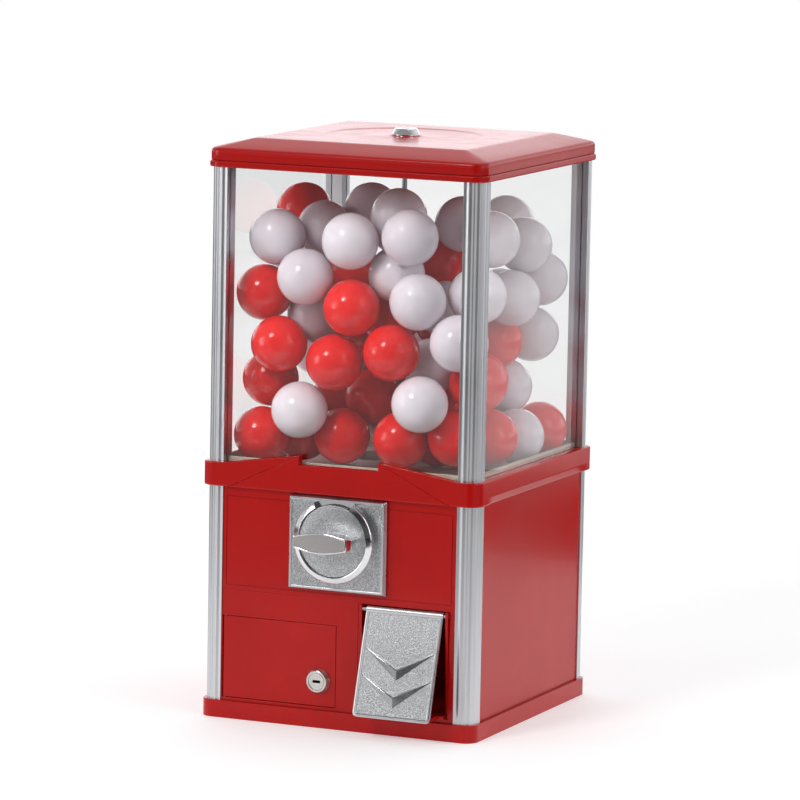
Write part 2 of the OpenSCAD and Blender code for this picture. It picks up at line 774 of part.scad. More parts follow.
module chute_door() {
  r = 6;
  color("silver") difference() {
    union() {
      translate([door_x, knuckle_y, knuckle_z]) rotate([-door_tilt, 0, 0]) difference() {
        translate([0, -knuckle_r + 0.6 + door_t, 0]) rotate([90, 0, 0])
        linear_extrude(door_t) difference() {
          translate([-door_w / 2, -door_l]) square([door_w, door_l]);
          for (s = [-1, 1]) scale([s, 1]) translate([door_w / 2 - r, -door_l + r]) difference() {
            translate([0, -r - 1]) square([r + 1, r + 1]);
            circle(r = r);
          }
        }
        // panel inside the raised border
        translate([0, -knuckle_r + 0.6 - 0.1, 0]) rotate([90, 0, 0])
          translate([0, 0, -0.8]) linear_extrude(2)
          translate([-door_w / 2 + 3, -door_l + 3]) square([door_w - 6, door_l - 10]);
      }
      translate([door_x, knuckle_y, knuckle_z]) rotate([-door_tilt, 0, 0]) chevrons();
      translate([door_x - door_w / 2, knuckle_y, knuckle_z]) rotate([0, 90, 0])
        cylinder(r = knuckle_r, h = door_w);
    }
    translate([door_x - door_w, knuckle_y, knuckle_z]) rotate([0, 90, 0])
      cylinder(r = door_pin_r + turn_fit, h = 2 * door_w);
  }
}

module chevrons() {
  for (z = [-door_l + 14, -door_l + 32], s = [-1, 1]) scale([s, 1, 1])
    front_prism(-knuckle_r + 0.2, -knuckle_r + 1.6) polygon([[0, z], [0, z + 6], [25, z + 20]]);
}

module chute_door_pin() {
  color("silver") translate([mouth_x + 0.3, knuckle_y, knuckle_z]) rotate([0, 90, 0])
    cylinder(r = door_pin_r, h = mouth_w - 0.6);
}

// ---- cash door, its lock and the cash box --------------------------------------------------------

module cash_door() {
  z0 = sill_z;
  color("firebrick") difference() {
    union() {
      box(cash_axis_x, cash_r, -panel_out, cash_back, z0, z0 + cash_h);
      translate([cash_axis_x, cash_axis_y, z0]) cylinder(r = cash_t / 2, h = cash_h);
    }
    translate([cash_axis_x, cash_axis_y, z0 - 1]) cylinder(r = cash_pin_r + turn_fit, h = 7);
    translate([cash_axis_x, cash_axis_y, z0 + cash_h - 6]) cylinder(r = cash_pin_r + turn_fit, h = 7);
    translate([lock_cx, 0, lock_cz]) rod_y(lock_r, -panel_out - 1, cash_t + 2);
  }
}

module cash_door_pins() {
  z0 = sill_z;
  color("silver") for (z = [z0 - door_gap - 2, z0 + cash_h - 5])
    translate([cash_axis_x, cash_axis_y, z]) cylinder(r = cash_pin_r, h = 7 + door_gap);
}

module lock_body() {
  color("gainsboro") translate([lock_cx, 0, lock_cz]) difference() {
    union() {
      rod_y(lock_r, -panel_out, lock_l);
      rod_y(lock_head_r - 2, -panel_out - lock_head_h, lock_head_h, lock_head_r);
    }
    rod_y(plug_r + turn_fit, -panel_out - lock_head_h - 1, lock_l + lock_head_h + 2);
  }
}

module lock_plug() {
  y0 = -panel_out - lock_head_h + 0.6;
  color("silver") translate([lock_cx, 0, lock_cz]) difference() {
    rod_y(plug_r, y0, cam_y - y0);
    box(-3.2, 3.2, y0 - 1, y0 + 3, -0.6, 0.6);
  }
}

module lock_cam() {
  color("dimgray") translate([lock_cx, 0, lock_cz]) front_prism(cam_y, cam_y + cam_t) union() {
    circle(r = 6);
    translate([-4, -cam_reach]) square([8, cam_reach]);
  }
}

module cash_box() {
  x0 = -half + base_rim + 0.5;
  x1 = mouth_x - 3;
  y0 = cam_y + cam_t + 4;
  y1 = 60;
  w = 1.2;
  h = 50;
  color("dimgray") difference() {
    box(x0, x1, y0, y1, base_floor, base_floor + h);
    box(x0 + w, x1 - w, y0 + w, y1 - w, base_floor + w, base_floor + h + 1);
  }
}

// ---- balls ---------------------------------------------------------------------------------------

// The heap is laid ball by ball. A ball of the front layer starts as a place on an upright board that
// faces the front right corner, [across, up, colour, furthest forward], and goes forward along the
// board's normal to the last place that the windows and the balls laid before it leave free. The rest of
// the heap is dropped straight down behind that layer, row after row.
board_turn = 23.8;
board_lean = 8.1;
board_z = collar_top + 94;
forward = [sin(board_turn) * cos(board_lean), -cos(board_turn) * cos(board_lean), sin(board_lean)];
across = [cos(board_turn), sin(board_turn), 0];
upward = cross(forward, across);

FRONT_LAYER = [
  [-77, 45, 1], [-100, 77, 1], [-42, 73, 1], [-110, 34, 0], [-40, 21, 0], [12, 26, 1], [5, 76, 1],
  [-97, -8, 0], [-53, -22, 0], [-8, -14, 0], [44, -6, 1, 111], [-80, -60, 1], [15, -54, 1], [-46, -80, 0],
  [-110, -80, 0], [44, -80, 0], [68, 77, 1], [58, 32, 1], [-5, 48, 1], [-22, -49, 0, 40], [1, -82, 0],
  [-104, -35, 0], [60, -37, 0], [70, -79, 0], [95, 75, 1], [86, 32, 1], [73, -2, 0], [82, -38, 1],
  [98, -38, 0], [111, -72, 0], [109, 50, 1], [103, 5, 1], [109, -30, 1], [98, 18, 0], [92, -78, 1],
  [47, 90, 1, 40], [-63, 85, 1], [-80, 101, 0], [-4, 94, 1], [-69, 16, 1], [23, -24, 1], [28, 62, 0],
  [-40, 52, 0], [-49, -50, 0], [-78, -78, 0], [-11, 16, 0], [41, 53, 1], [-26, 101, 1], [81, 94, 1, 0]
];

ball_r = ball_d / 2;
ball_pitch = ball_d + touch;
ball_floor = wheel_top + guard_gap + guard_t + ball_r + touch;
rim_swell = sqrt(max(0, ball_r * ball_r - pow(ball_floor - rim_top, 2)));
reach = min(window_inner - ball_r, hopper_half - rim_t - rim_swell) - touch;
rod_reach = ball_r + rod_r + touch;
heap_top = collar_top + heap_h;

// the furthest that a ball at p goes along way, up to limit, and lies clear of the balls in done
function furthest(p, way, limit, done) =
  let (
    taken = [for (q = done)
      let (w = [q[0], q[1], q[2]] - p, along = w * way, off = w * w - along * along)
      if (off < ball_pitch * ball_pitch)
        let (gap = sqrt(ball_pitch * ball_pitch - off)) [along - gap, along + gap]],
    stops = [for (t = concat([limit], [for (n = taken) n[0]]))
      if (t <= limit && len([for (n = taken) if (t > n[0] + 0.001 && t < n[1] - 0.001) n]) == 0) t]
  ) max(stops);

function in_globe(p) =
  max(abs(p[0]), abs(p[1])) < reach + 0.01 && p[2] > ball_floor - 0.01 && norm([p[0], p[1]]) > rod_reach
  && norm([post_in - abs(p[0]), post_in - abs(p[1])]) > ball_r + touch;

function lay_front(i, done) =
  i >= len(FRONT_LAYER) ? done :
  let (
    b = FRONT_LAYER[i],
    p = [0, 0, board_z] + b[0] * across + b[1] * upward,
    limit = min((reach - p[0]) / forward[0], (reach + p[1]) / -forward[1], len(b) > 3 ? b[3] : cabinet_w),
    q = p + furthest(p, forward, limit, done) * forward
  ) lay_front(i + 1, in_globe(q) ? concat(done, [[q[0], q[1], q[2], b[2]]]) : done);

// places from which balls are dropped: staggered rows, each shaken a little out of line
DROPS = [
  for (row = [0 : 19], j = [-2 : 2], i = [-2 : 2])
    let (
      k = 7 * i + 13 * j + 5 * row,
      x = 41 * i + 21 * (row % 2) + 8 * sin(97 * k),
      y = 41 * j + 21 * (floor(row / 2) % 2) + 8 * cos(71 * k)
    ) [max(-reach, min(reach, x)), max(-reach, min(reach, y)), k]
];

function drop(i, done) =
  i >= len(DROPS) ? done :
  let (
    d = DROPS[i],
    p = [d[0], d[1], heap_top],
    q = p - [0, 0, furthest(p, [0, 0, -1], heap_top - ball_floor, done)],
    top = heap_top - 25 - 0.0016 * (d[0] * d[0] + d[1] * d[1]),
    red = abs(d[2]) % 5 < (q[2] > heap_top - 70 ? 1 : q[2] > heap_top - 120 ? 3 : 4)
  ) drop(i + 1, in_globe(q) && q[2] < top ? concat(done, [[q[0], q[1], q[2], red ? 0 : 1]]) : done);

heap = drop(0, lay_front(0, []));

module balls_of(colour) {
  for (b = heap) if (b[3] == colour) translate([b[0], b[1], b[2]]) sphere(r = ball_r);
}

module red_balls() { color("red") balls_of(0); }
module white_balls() { color("white") balls_of(1); }

// ---- the parts -----------------------------------------------------------------------------------

base_tray();
lower_post_front_left();
lower_post_front_right();
lower_post_back_left();
lower_post_back_right();
upper_post_front_left();
upper_post_front_right();
upper_post_back_left();
upper_post_back_right();
front_panel();
left_panel();
right_panel();
back_panel();
mid_collar();
front_window();
left_window();
right_window();
back_window();
top_frame();
lid();
lid_lock_body();
lid_lock_plug();
centre_rod();
rod_nuts();
hopper_pan();
product_wheel();
ball_guard();
coin_plate();
handle();
coin_carrier();
handle_shaft();
mech_housing();
ratchet_wheel();
pawl();
pawl_pin();
drive_pinion();
shaft_nut();
chute();
chute_door();
chute_door_pin();
cash_door();
cash_door_pins();
lock_body();
lock_plug();
lock_cam();
cash_box();
red_balls();
white_balls();
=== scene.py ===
# %% [markdown]
# # A countertop gumball machine
# A steel cabinet, a clear globe full of balls between fluted posts, and a coin mechanism in front.
# The solids already exist with their true sizes and joints, so this script dresses them: it gives
# every piece its finish, and makes again the pieces whose surface a plain solid can't show.

import json
import math

import bmesh
import bpy
import numpy as np
from mathutils import Matrix


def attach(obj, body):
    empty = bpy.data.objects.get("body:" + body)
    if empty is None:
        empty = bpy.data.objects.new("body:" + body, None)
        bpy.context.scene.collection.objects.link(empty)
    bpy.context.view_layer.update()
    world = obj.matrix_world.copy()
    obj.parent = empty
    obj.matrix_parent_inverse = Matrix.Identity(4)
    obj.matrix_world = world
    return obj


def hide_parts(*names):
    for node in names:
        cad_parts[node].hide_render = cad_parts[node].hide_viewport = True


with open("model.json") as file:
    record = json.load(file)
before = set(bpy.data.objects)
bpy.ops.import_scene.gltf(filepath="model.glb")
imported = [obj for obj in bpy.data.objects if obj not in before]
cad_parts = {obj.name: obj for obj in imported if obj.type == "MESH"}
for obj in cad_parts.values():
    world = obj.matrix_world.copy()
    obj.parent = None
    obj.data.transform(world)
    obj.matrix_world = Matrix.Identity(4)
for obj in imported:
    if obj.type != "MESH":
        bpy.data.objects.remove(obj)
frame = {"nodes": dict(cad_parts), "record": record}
nodes = frame["nodes"]
body_of = {name: body for body, names in frame["record"]["behaviour"]["bodies"].items() for name in names}
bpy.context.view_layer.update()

# %% [markdown]
# ## Sizes
# The named values below are in millimetres and repeat the few sizes of the solids that the new
# surfaces have to meet. Blender works in metres, so a mesh is scaled once, when it is made.

# %% Sizes, in millimetres
MM = 0.001
HALF = 117.0  # half the width over the posts
CORNER_R = 11.0
POST_IN = 101.0
BASE_H = 14.0
COLLAR_Z = 186.5
COLLAR_TOP = 205.7
FRAME_Z = 439.7
LID_Z = 444.8
LID_TOP = 461.9
LID_HALF = 118.5
PANEL_OUT = 116.0
WINDOW_OUT = 112.0
AXIS_Z = 152.0  # height of the handle's axis
PLATE_Y = -121.5  # front of the coin plate's border
FIELD_Y = -120.8  # front of its field
RING_Y = -130.0  # front of its ring
DOOR_X = 59.0
KNUCKLE_Y = -117.0
KNUCKLE_Z = 98.9
MERGE = 1e-6  # metres: points nearer than this are one point
SHARP = 32  # degrees: an edge that turns by more keeps its line

# %% [markdown]
# ## Camera
# A long lens from the front right, a little above the lid. The camera's three axes come from its
# azimuth, elevation and roll: "back" points from the object to the camera.

# %% Camera
AZIMUTH, ELEVATION, ROLL = (math.radians(a) for a in (23.802, 8.097, 1.083))
FOCAL_PX, FRAME_PX = 5269.122, 800
SENSOR = 36.0
CAMERA_AT = (1.68971, -3.83272, 0.84423)


def heading(azimuth, elevation):
    """The direction at an azimuth, counted from -Y towards +X, and an elevation above the level."""
    return np.array([math.sin(azimuth) * math.cos(elevation), -math.cos(azimuth) * math.cos(elevation),
                     math.sin(elevation)])


def placed(at, *three_axes):
    """The matrix that puts an object at a point with its X, Y and Z along three directions."""
    turn = Matrix([list(row) for row in np.column_stack(three_axes)]).to_4x4()
    return Matrix.Translation(at) @ turn


back = heading(AZIMUTH, ELEVATION)
level = np.array([math.cos(AZIMUTH), math.sin(AZIMUTH), 0])
upright = np.cross(back, level)
right = math.cos(ROLL) * level + math.sin(ROLL) * upright
up = -math.sin(ROLL) * level + math.cos(ROLL) * upright

camera = bpy.data.objects.new("camera", bpy.data.cameras.new("camera"))
camera.data.sensor_width = SENSOR
camera.data.lens = FOCAL_PX / FRAME_PX * SENSOR
camera.data.clip_end = 50
camera.matrix_world = placed(CAMERA_AT, right, up, back)
bpy.context.scene.collection.objects.link(camera)
bpy.context.scene.camera = camera
print("lens", round(camera.data.lens, 1), "mm")

# %% [markdown]
# ## Surfaces from numbers
# A surface is a grid of points with two directions. `weave` numbers the grid's cells, and can close
# the grid on itself either way: `band` closes its columns, as the wall of a tube does, and `closed`
# closes both. `make` joins such grids to one mesh, merges the points where they meet and turns all
# faces outwards.

# %% Grids and meshes


def weave(points, close_rows=False, close_columns=False):
    """The (rows, columns, 3) grid as a list of points and the four corners of each cell."""
    points = np.asarray(points, float)
    rows, columns = points.shape[:2]
    number = np.arange(rows * columns).reshape(rows, columns)
    if close_rows:
        number = np.vstack([number, number[:1]])
    if close_columns:
        number = np.hstack([number, number[:, :1]])
    cells = np.stack([number[:-1, :-1], number[:-1, 1:], number[1:, 1:], number[1:, :-1]], axis=-1)
    return points.reshape(-1, 3), cells.reshape(-1, 4).tolist()


def band(points, number=0):
    """A grid whose columns close on themselves, with the number of its finish."""
    return (*weave(points, close_columns=True), number)


def closed(points):
    """A grid whose rows and columns both close on themselves."""
    return weave(points, close_rows=True, close_columns=True)


def lid_on(ring, number=0):
    """One flat face that closes a ring of points, with the number of its finish."""
    return ring, [list(range(len(ring)))], number


def make(name, parts, finishes, sharp=SHARP):
    """One object from (points in mm, faces) parts, or (points, faces, number of the finish) where it
    has more than one finish: joined, merged where they meet, faces outwards."""
    points, faces, numbers, start = [], [], [], 0
    for part_points, part_faces, *number in parts:
        points.append(np.asarray(part_points, float) * MM)
        faces += [[corner + start for corner in face] for face in part_faces]
        numbers += [number[0] if number else 0] * len(part_faces)
        start += len(part_points)
    mesh = bpy.data.meshes.new(name)
    mesh.from_pydata(np.concatenate(points).tolist(), [], faces)
    mesh.polygons.foreach_set("material_index", numbers)
    for material in finishes:
        mesh.materials.append(material)
    work = bmesh.new()
    work.from_mesh(mesh)
    bmesh.ops.remove_doubles(work, verts=work.verts, dist=MERGE)
    bmesh.ops.recalc_face_normals(work, faces=work.faces)
    work.to_mesh(mesh)
    work.free()
    mesh.shade_smooth()
    mesh.set_sharp_from_angle(angle=math.radians(sharp))
    piece = bpy.data.objects.new(name, mesh)
    bpy.context.scene.collection.objects.link(piece)
    return piece


# %% [markdown]
# A turned part, such as a lock's head, is a profile carried round an axis. A pressed square part,
# such as the lid, is a profile carried round a square with round corners. Both are the same idea: the
# profile gives the rows and the ring gives the columns.

# %% Turned and pressed shapes


def turned(profile, centre, along=(0, 0, 1), steps=96):
    """Each (radius, height) of the profile becomes a circle about the axis: centre + height * along
    + radius * (cos t * side + sin t * other), with t from 0 to a full turn."""
    along = np.asarray(along, float)
    side = np.array([1.0, 0, 0]) if abs(along[0]) < 0.5 else np.array([0, 1.0, 0])
    other = np.cross(along, side)
    t = np.linspace(0, 2 * np.pi, steps, endpoint=False)
    circle = np.outer(np.cos(t), side) + np.outer(np.sin(t), other)
    radius, height = np.asarray(profile, float).T
    return (np.asarray(centre, float) + height[:, None, None] * along
            + radius[:, None, None] * circle[None])


def square_ring(half, corner, arc=12, straight=12):
    """Points round a square with round corners: four times a quarter circle of radius `corner` about
    (half - corner, half - corner), then a straight run to the next one, all turned by 90 degrees."""
    a = np.linspace(0, np.pi / 2, arc + 1)
    middle = half - corner
    bend = np.column_stack([middle + corner * np.cos(a), middle + corner * np.sin(a)])
    s = np.linspace(0, 1, straight + 1)[1:-1, None]
    run = bend[-1] + s * (np.array([-middle, half]) - bend[-1])
    quarter = np.vstack([bend, run])
    turns = [quarter @ np.array([[c, d], [-d, c]]) for c, d in ((1, 0), (0, 1), (-1, 0), (0, -1))]
    return np.vstack(turns)


def smooth_step(x, low, high):
    """0 below low, 1 above high, and 3t^2 - 2t^3 between them."""
    t = np.clip((x - low) / (high - low), 0, 1)
    return t * t * (3 - 2 * t)


print("a square ring has", len(square_ring(10, 2)), "points")

# %% [markdown]
# ## Effects that several finishes share
# Real surfaces are never one flat value. Three small node groups give the variation: `grain` is an
# even texture that can be stretched into brush lines, `handling` is the soft cloudiness that hands
# and cloths leave, and `dust` gathers on what faces up. Each group gives a mask or a height only; the
# shader stays in the material.

# %% Node helpers


def add_node(tree, kind, inputs=None, **settings):
    """A shader node with its settings, and inputs that are a value or another node's output."""
    node = tree.nodes.new("ShaderNode" + kind)
    for name, value in settings.items():
        setattr(node, name, value)
    for name, value in (inputs or {}).items():
        if isinstance(value, bpy.types.NodeSocket):
            tree.links.new(value, node.inputs[name])
        else:
            node.inputs[name].default_value = value
    return node


def arithmetic(tree, operation, *values):
    """One step of arithmetic on values or outputs; gives its output."""
    return add_node(tree, "Math", dict(enumerate(values)), operation=operation).outputs[0]


def ranged(tree, value, low, high, start=0.0, stop=1.0):
    """low where the value is at its start, high where it is at its stop, and even between them."""
    return add_node(tree, "MapRange", {
        "Value": value, "From Min": start, "From Max": stop, "To Min": low, "To Max": high}).outputs[0]


def own_place(tree):
    """Each point's place in the object's own axes."""
    return add_node(tree, "TexCoord").outputs["Object"]


def noise_at(tree, place, scale, detail):
    """Soft noise from 0 to 1 at a place."""
    noise = add_node(tree, "TexNoise", {"Vector": place, "Scale": scale, "Detail": detail})
    return noise.outputs["Fac"]


def new_group(name, numbers, vectors=()):
    """An empty shader group with number inputs (name: default), vector inputs and one Value output."""
    group = bpy.data.node_groups.new(name, "ShaderNodeTree")
    for label, value in numbers.items():
        socket = group.interface.new_socket(label, in_out="INPUT", socket_type="NodeSocketFloat")
        socket.default_value = value
    for label in vectors:
        socket = group.interface.new_socket(label, in_out="INPUT", socket_type="NodeSocketVector")
        socket.default_value = (1, 1, 1)
    group.interface.new_socket("Value", in_out="OUTPUT", socket_type="NodeSocketFloat")
    return group, group.nodes.new("NodeGroupInput").outputs, group.nodes.new("NodeGroupOutput").inputs


# %% Group: grain
grain_group, into, out = new_group("grain", {"Scale": 500, "Detail": 2}, ["Stretch"])
stretched = add_node(grain_group, "VectorMath", {0: own_place(grain_group), 1: into["Stretch"]},
                     operation="MULTIPLY").outputs[0]
grain_group.links.new(noise_at(grain_group, stretched, into["Scale"], into["Detail"]), out["Value"])

# %% Group: handling
handling_group, into, out = new_group("handling", {"Scale": 9, "Streaks": 60, "Low": 0.42, "High": 0.72})
place = own_place(handling_group)
cloud = noise_at(handling_group, place, into["Scale"], 5.0)
fine = noise_at(handling_group, place, into["Streaks"], 3.0)
both = arithmetic(handling_group, "MULTIPLY_ADD", fine, 0.3, cloud)
handling_group.links.new(ranged(handling_group, both, 0.0, 1.0, into["Low"], into["High"]), out["Value"])

# %% Group: dust
dust_group, into, out = new_group("dust", {"Scale": 30, "Amount": 0.5})
facing = add_node(dust_group, "NewGeometry").outputs["Normal"]
upward = add_node(dust_group, "SeparateXYZ", {0: facing}).outputs["Z"]
flat = ranged(dust_group, upward, 0.0, 1.0, 0.3)
patchy = noise_at(dust_group, own_place(dust_group), into["Scale"], 6.0)
lying = arithmetic(dust_group, "MULTIPLY", flat, patchy)
dust_group.links.new(arithmetic(dust_group, "MULTIPLY", lying, into["Amount"]), out["Value"])
print("groups:", [group.name for group in bpy.data.node_groups])

# %% [markdown]
# ## Finishes
# `finish` starts a material with its fixed values on the shader's own sockets. `mixed` blends two
# colours by a mask, `dressed` gives the shader its colour and a roughness that follows a mask, and
# `bumped` turns a height into a normal.

# %% Finish helpers


def linear(red, green, blue):
    """A screen colour from 0 to 255 as the linear light that the shader works in."""
    screen = np.array([red, green, blue]) / 255
    light = np.where(screen <= 0.04045, screen / 12.92, ((screen + 0.055) / 1.055) ** 2.4)
    return (*light.tolist(), 1.0)


def finish(name, **fixed):
    """A new material, its node tree and its shader, with plain values on the shader's sockets."""
    material = bpy.data.materials.new(name)
    material.use_nodes = True
    tree = material.node_tree
    shader = tree.nodes["Principled BSDF"]
    for label, value in fixed.items():
        shader.inputs[label.replace("_", " ")].default_value = value
    return material, tree, shader


def effect(tree, group, **values):
    """A shared group placed in a material with its own values; gives its output."""
    node = add_node(tree, "Group", node_tree=group)
    for label, value in values.items():
        node.inputs[label].default_value = value
    return node.outputs["Value"]


def mixed(tree, mask, first, second):
    """The first colour where the mask is 0, the second where it is 1. A colour is three numbers from
    0 to 255 or a node's output."""
    node = add_node(tree, "Mix", {"Factor": mask}, data_type="RGBA")
    for number, colour in ((6, first), (7, second)):
        if isinstance(colour, bpy.types.NodeSocket):
            tree.links.new(colour, node.inputs[number])
        else:
            node.inputs[number].default_value = linear(*colour)
    return node.outputs[2]


def dressed(tree, shader, colour, mask, rough):
    """Gives the shader a colour, and a roughness between two limits by the mask."""
    tree.links.new(colour, shader.inputs["Base Color"])
    tree.links.new(ranged(tree, mask, *rough), shader.inputs["Roughness"])


def bumped(tree, shader, height, depth_mm, strength):
    """Tilts the shader's normal as if the surface rose by depth_mm where the height is 1."""
    bump = add_node(tree, "Bump", {
        "Height": height, "Distance": depth_mm * MM, "Strength": strength})
    tree.links.new(bump.outputs["Normal"], shader.inputs["Normal"])


# %% [markdown]
# ### Red powder paint
# The cabinet is sprayed steel: one deep red, a glossy skin with a faint orange-peel ripple, and a
# little dust on the ledges. The ripple is a shallow noise of about 3 mm, which is felt only in the
# reflections.

# %% Red paint
red_paint, tree, shader = finish("red_paint", Coat_Weight=0.08, Coat_Roughness=0.05, IOR=1.45,
                                  Specular_IOR_Level=0.24)
cloud = effect(tree, handling_group, Scale=7)
painted = mixed(tree, cloud, (182, 17, 12), (172, 12, 9))
dusty = mixed(tree, effect(tree, dust_group, Amount=0.05), painted, (190, 150, 145))
dressed(tree, shader, dusty, cloud, (0.17, 0.25))
bumped(tree, shader, effect(tree, grain_group, Scale=330, Detail=1), 0.03, 0.5)

# %% [markdown]
# ### Metals
# The posts are drawn aluminium: fine lines run along them, so the grain is stretched along Z. The
# coin plate and the chute door are die-cast zinc with a hammered skin: small rounded dimples, made
# from the distance to scattered points. The ring and the lid's lock are polished chrome, and the cash
# lock is satin.

# %% Drawn aluminium
post_aluminium, tree, shader = finish("post_aluminium", Metallic=1.0)
lines = effect(tree, grain_group, Scale=1300, Detail=3, Stretch=(1, 1, 0.012))
drawn = mixed(tree, lines, (188, 189, 192), (215, 215, 218))
dressed(tree, shader, drawn, effect(tree, handling_group, Scale=14), (0.3, 0.38))
bumped(tree, shader, lines, 0.003, 0.3)


# %% Hammered zinc


def hammered(name, dimple_scale, depth_mm, pale, dark, rough):
    """Dimples: the distance to the nearest of scattered points, broken up by a fine noise."""
    material, tree, shader = finish(name, Metallic=1.0)
    cells = add_node(tree, "TexVoronoi", {"Vector": own_place(tree), "Scale": dimple_scale},
                     feature="SMOOTH_F1")
    fine = effect(tree, grain_group, Scale=dimple_scale * 1.3, Detail=2)
    height = arithmetic(tree, "MULTIPLY_ADD", fine, 0.9, cells.outputs["Distance"])
    pits = ranged(tree, height, 0.0, 1.0, 0.55, 1.15)
    dressed(tree, shader, mixed(tree, pits, dark, pale), effect(tree, handling_group, Scale=20), rough)
    bumped(tree, shader, height, depth_mm, 0.8)
    return material


cast_chrome = hammered("cast_chrome", 1250, 0.17, (200, 201, 202), (128, 129, 131), (0.27, 0.36))


# %% Plain metals


def metal(name, pale, dark, rough, scale=700, stretch=(1, 1, 1), depth_mm=0.004):
    """A plain metal: two close shades by its grain, roughness by handling and a very fine bump."""
    material, tree, shader = finish(name, Metallic=1.0)
    lines = effect(tree, grain_group, Scale=scale, Detail=2, Stretch=stretch)
    dressed(tree, shader, mixed(tree, lines, dark, pale), effect(tree, handling_group, Scale=25), rough)
    bumped(tree, shader, lines, depth_mm, 0.5)
    return material


lock_satin = metal("lock_satin", (216, 213, 208), (196, 193, 188), (0.2, 0.3), 900)
lock_chrome = metal("lock_chrome", (232, 232, 234), (214, 214, 217), (0.05, 0.13))
cast_border = metal("cast_border", (214, 214, 216), (186, 187, 189), (0.2, 0.32), 900, depth_mm=0.02)
handle_face = metal("handle_face", (196, 192, 190), (142, 138, 137), (0.36, 0.48), 1500, depth_mm=0.05)
mark_slope = metal("mark_slope", (186, 187, 189), (164, 165, 167), (0.14, 0.24))
brass = metal("brass", (212, 176, 104), (188, 150, 84), (0.22, 0.36))
plain_steel = metal("plain_steel", (176, 177, 180), (140, 141, 144), (0.28, 0.42), 500, (1, 1, 0.1))
# Near black, for the key slot's walls and floor: painted shade in the deep slot.
keyway_painted_shade = metal("keyway_painted_shade", (30, 30, 31), (18, 18, 19), (0.5, 0.6))

# %% [markdown]
# ### Plastics
# The balls are blown plastic with a thin glossy skin. Each ball has its own tone, kept in the
# attribute `tone`, because one batch never matches exactly. The hopper is a light grey moulding, and
# the product wheel and its pinion are pale nylon.

# %% Balls


def ball_skin(name, first, second):
    """Gloss plastic whose colour runs between two shades by the attribute `tone`."""
    material, tree, shader = finish(name, IOR=1.45, Specular_IOR_Level=0.32, Coat_Weight=0.22,
                                    Coat_Roughness=0.02)
    tone = add_node(tree, "Attribute", attribute_name="tone").outputs["Fac"]
    cloud = effect(tree, handling_group, Scale=30)
    dressed(tree, shader, mixed(tree, tone, first, second), cloud, (0.1, 0.17))
    bumped(tree, shader, effect(tree, grain_group, Scale=160, Detail=1), 0.02, 0.3)
    return material


red_ball = ball_skin("red_ball", (232, 26, 20), (220, 19, 15))
white_ball = ball_skin("white_ball", (228, 219, 225), (217, 207, 214))


# %% Moulded plastics


def moulded(name, pale, dark, rough):
    """A plain moulding: close shades by handling, dust on top and a fine spark-eroded texture."""
    material, tree, shader = finish(name, IOR=1.46)
    cloud = effect(tree, handling_group, Scale=16)
    settled_dust = effect(tree, dust_group, Amount=0.12)
    dusty = mixed(tree, settled_dust, mixed(tree, cloud, pale, dark), (150, 146, 140))
    dressed(tree, shader, dusty, cloud, rough)
    bumped(tree, shader, effect(tree, grain_group, Scale=420, Detail=2), 0.03, 0.5)
    return material


grey_plastic = moulded("grey_plastic", (200, 188, 172), (186, 174, 159), (0.34, 0.46))
white_nylon = moulded("white_nylon", (236, 234, 228), (222, 220, 214), (0.4, 0.55))

# %% [markdown]
# ### Clear sheets
# The globe's walls are thin clear acrylic. Glass lets no lamp through in a path tracer unless the
# light finds its way by luck, so shadow rays see a Transparent shader and all other rays see real
# glass. Wiped smears change the roughness a little.

# %% Clear acrylic
clear_sheet, tree, shader = finish("clear_sheet", Transmission_Weight=1.0, IOR=1.45,
                                   Base_Color=(0.98, 0.985, 0.985, 1))
smears = effect(tree, handling_group, Scale=12, Streaks=90, Low=0.55, High=0.9)
tree.links.new(ranged(tree, smears, 0.0, 0.05), shader.inputs["Roughness"])
see_through = add_node(tree, "BsdfTransparent", {"Color": (0.95, 0.96, 0.965, 1)})
shadow_ray = add_node(tree, "LightPath").outputs["Is Shadow Ray"]
pane = add_node(tree, "MixShader", {
    0: shadow_ray, 1: shader.outputs[0], 2: see_through.outputs[0]})
tree.links.new(pane.outputs[0], tree.nodes["Material Output"].inputs["Surface"])
print(len(bpy.data.materials), "finishes")

# %% [markdown]
# ## Solids that only need their edges eased
# Folded steel and moulded plastic have no knife edges: a small round catches the light along every
# corner. A copy of the solid is merged, its flat triangles are joined to whole faces, and a Bevel
# modifier rounds what is left, by a radius that suits the material.

# %% Eased copies


def merged_copy(name, solid, flat=None):
    """A copy of a solid's mesh with its points merged, and its faces joined where they turn by less
    than `flat` degrees."""
    work = bmesh.new()
    work.from_mesh(solid.data)
    bmesh.ops.remove_doubles(work, verts=work.verts, dist=MERGE)
    if flat:
        bmesh.ops.dissolve_limit(work, angle_limit=math.radians(flat), verts=work.verts, edges=work.edges)
    mesh = bpy.data.meshes.new(name)
    work.to_mesh(mesh)
    work.free()
    return mesh


def ease(name, material, slot, radius_mm):
    """A copy of a solid with rounded edges and a finish, in the solid's place on its body."""
    mesh = merged_copy(name + "_eased", nodes[name], flat=0.6)
    mesh.materials.clear()
    mesh.materials.append(material)
    mesh.shade_smooth()
    mesh.set_sharp_from_angle(angle=math.radians(SHARP))
    piece = bpy.data.objects.new(name + "_eased", mesh)
    bpy.context.scene.collection.objects.link(piece)
    bevel = piece.modifiers.new("edges", "BEVEL")
    bevel.width, bevel.segments, bevel.angle_limit = radius_mm * MM, 2, math.radians(SHARP)
    normals = piece.modifiers.new("normals", "WEIGHTED_NORMAL")
    normals.keep_sharp = True
    return settle(piece, body_of[name], slot, name)


def dress(name, parts, finishes, body, slot, *stands_for, sharp=SHARP):
    """Makes a new piece and settles it in the place of the solids that it stands for."""
    return settle(make(name, parts, finishes, sharp), body, slot, *stands_for)


def settle(piece, body, slot, *stands_for):
    """Puts a piece on its body and hides the solids that it stands for; the slot is not used."""
    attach(piece, body)
    if stands_for:
        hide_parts(*stands_for)
    return piece


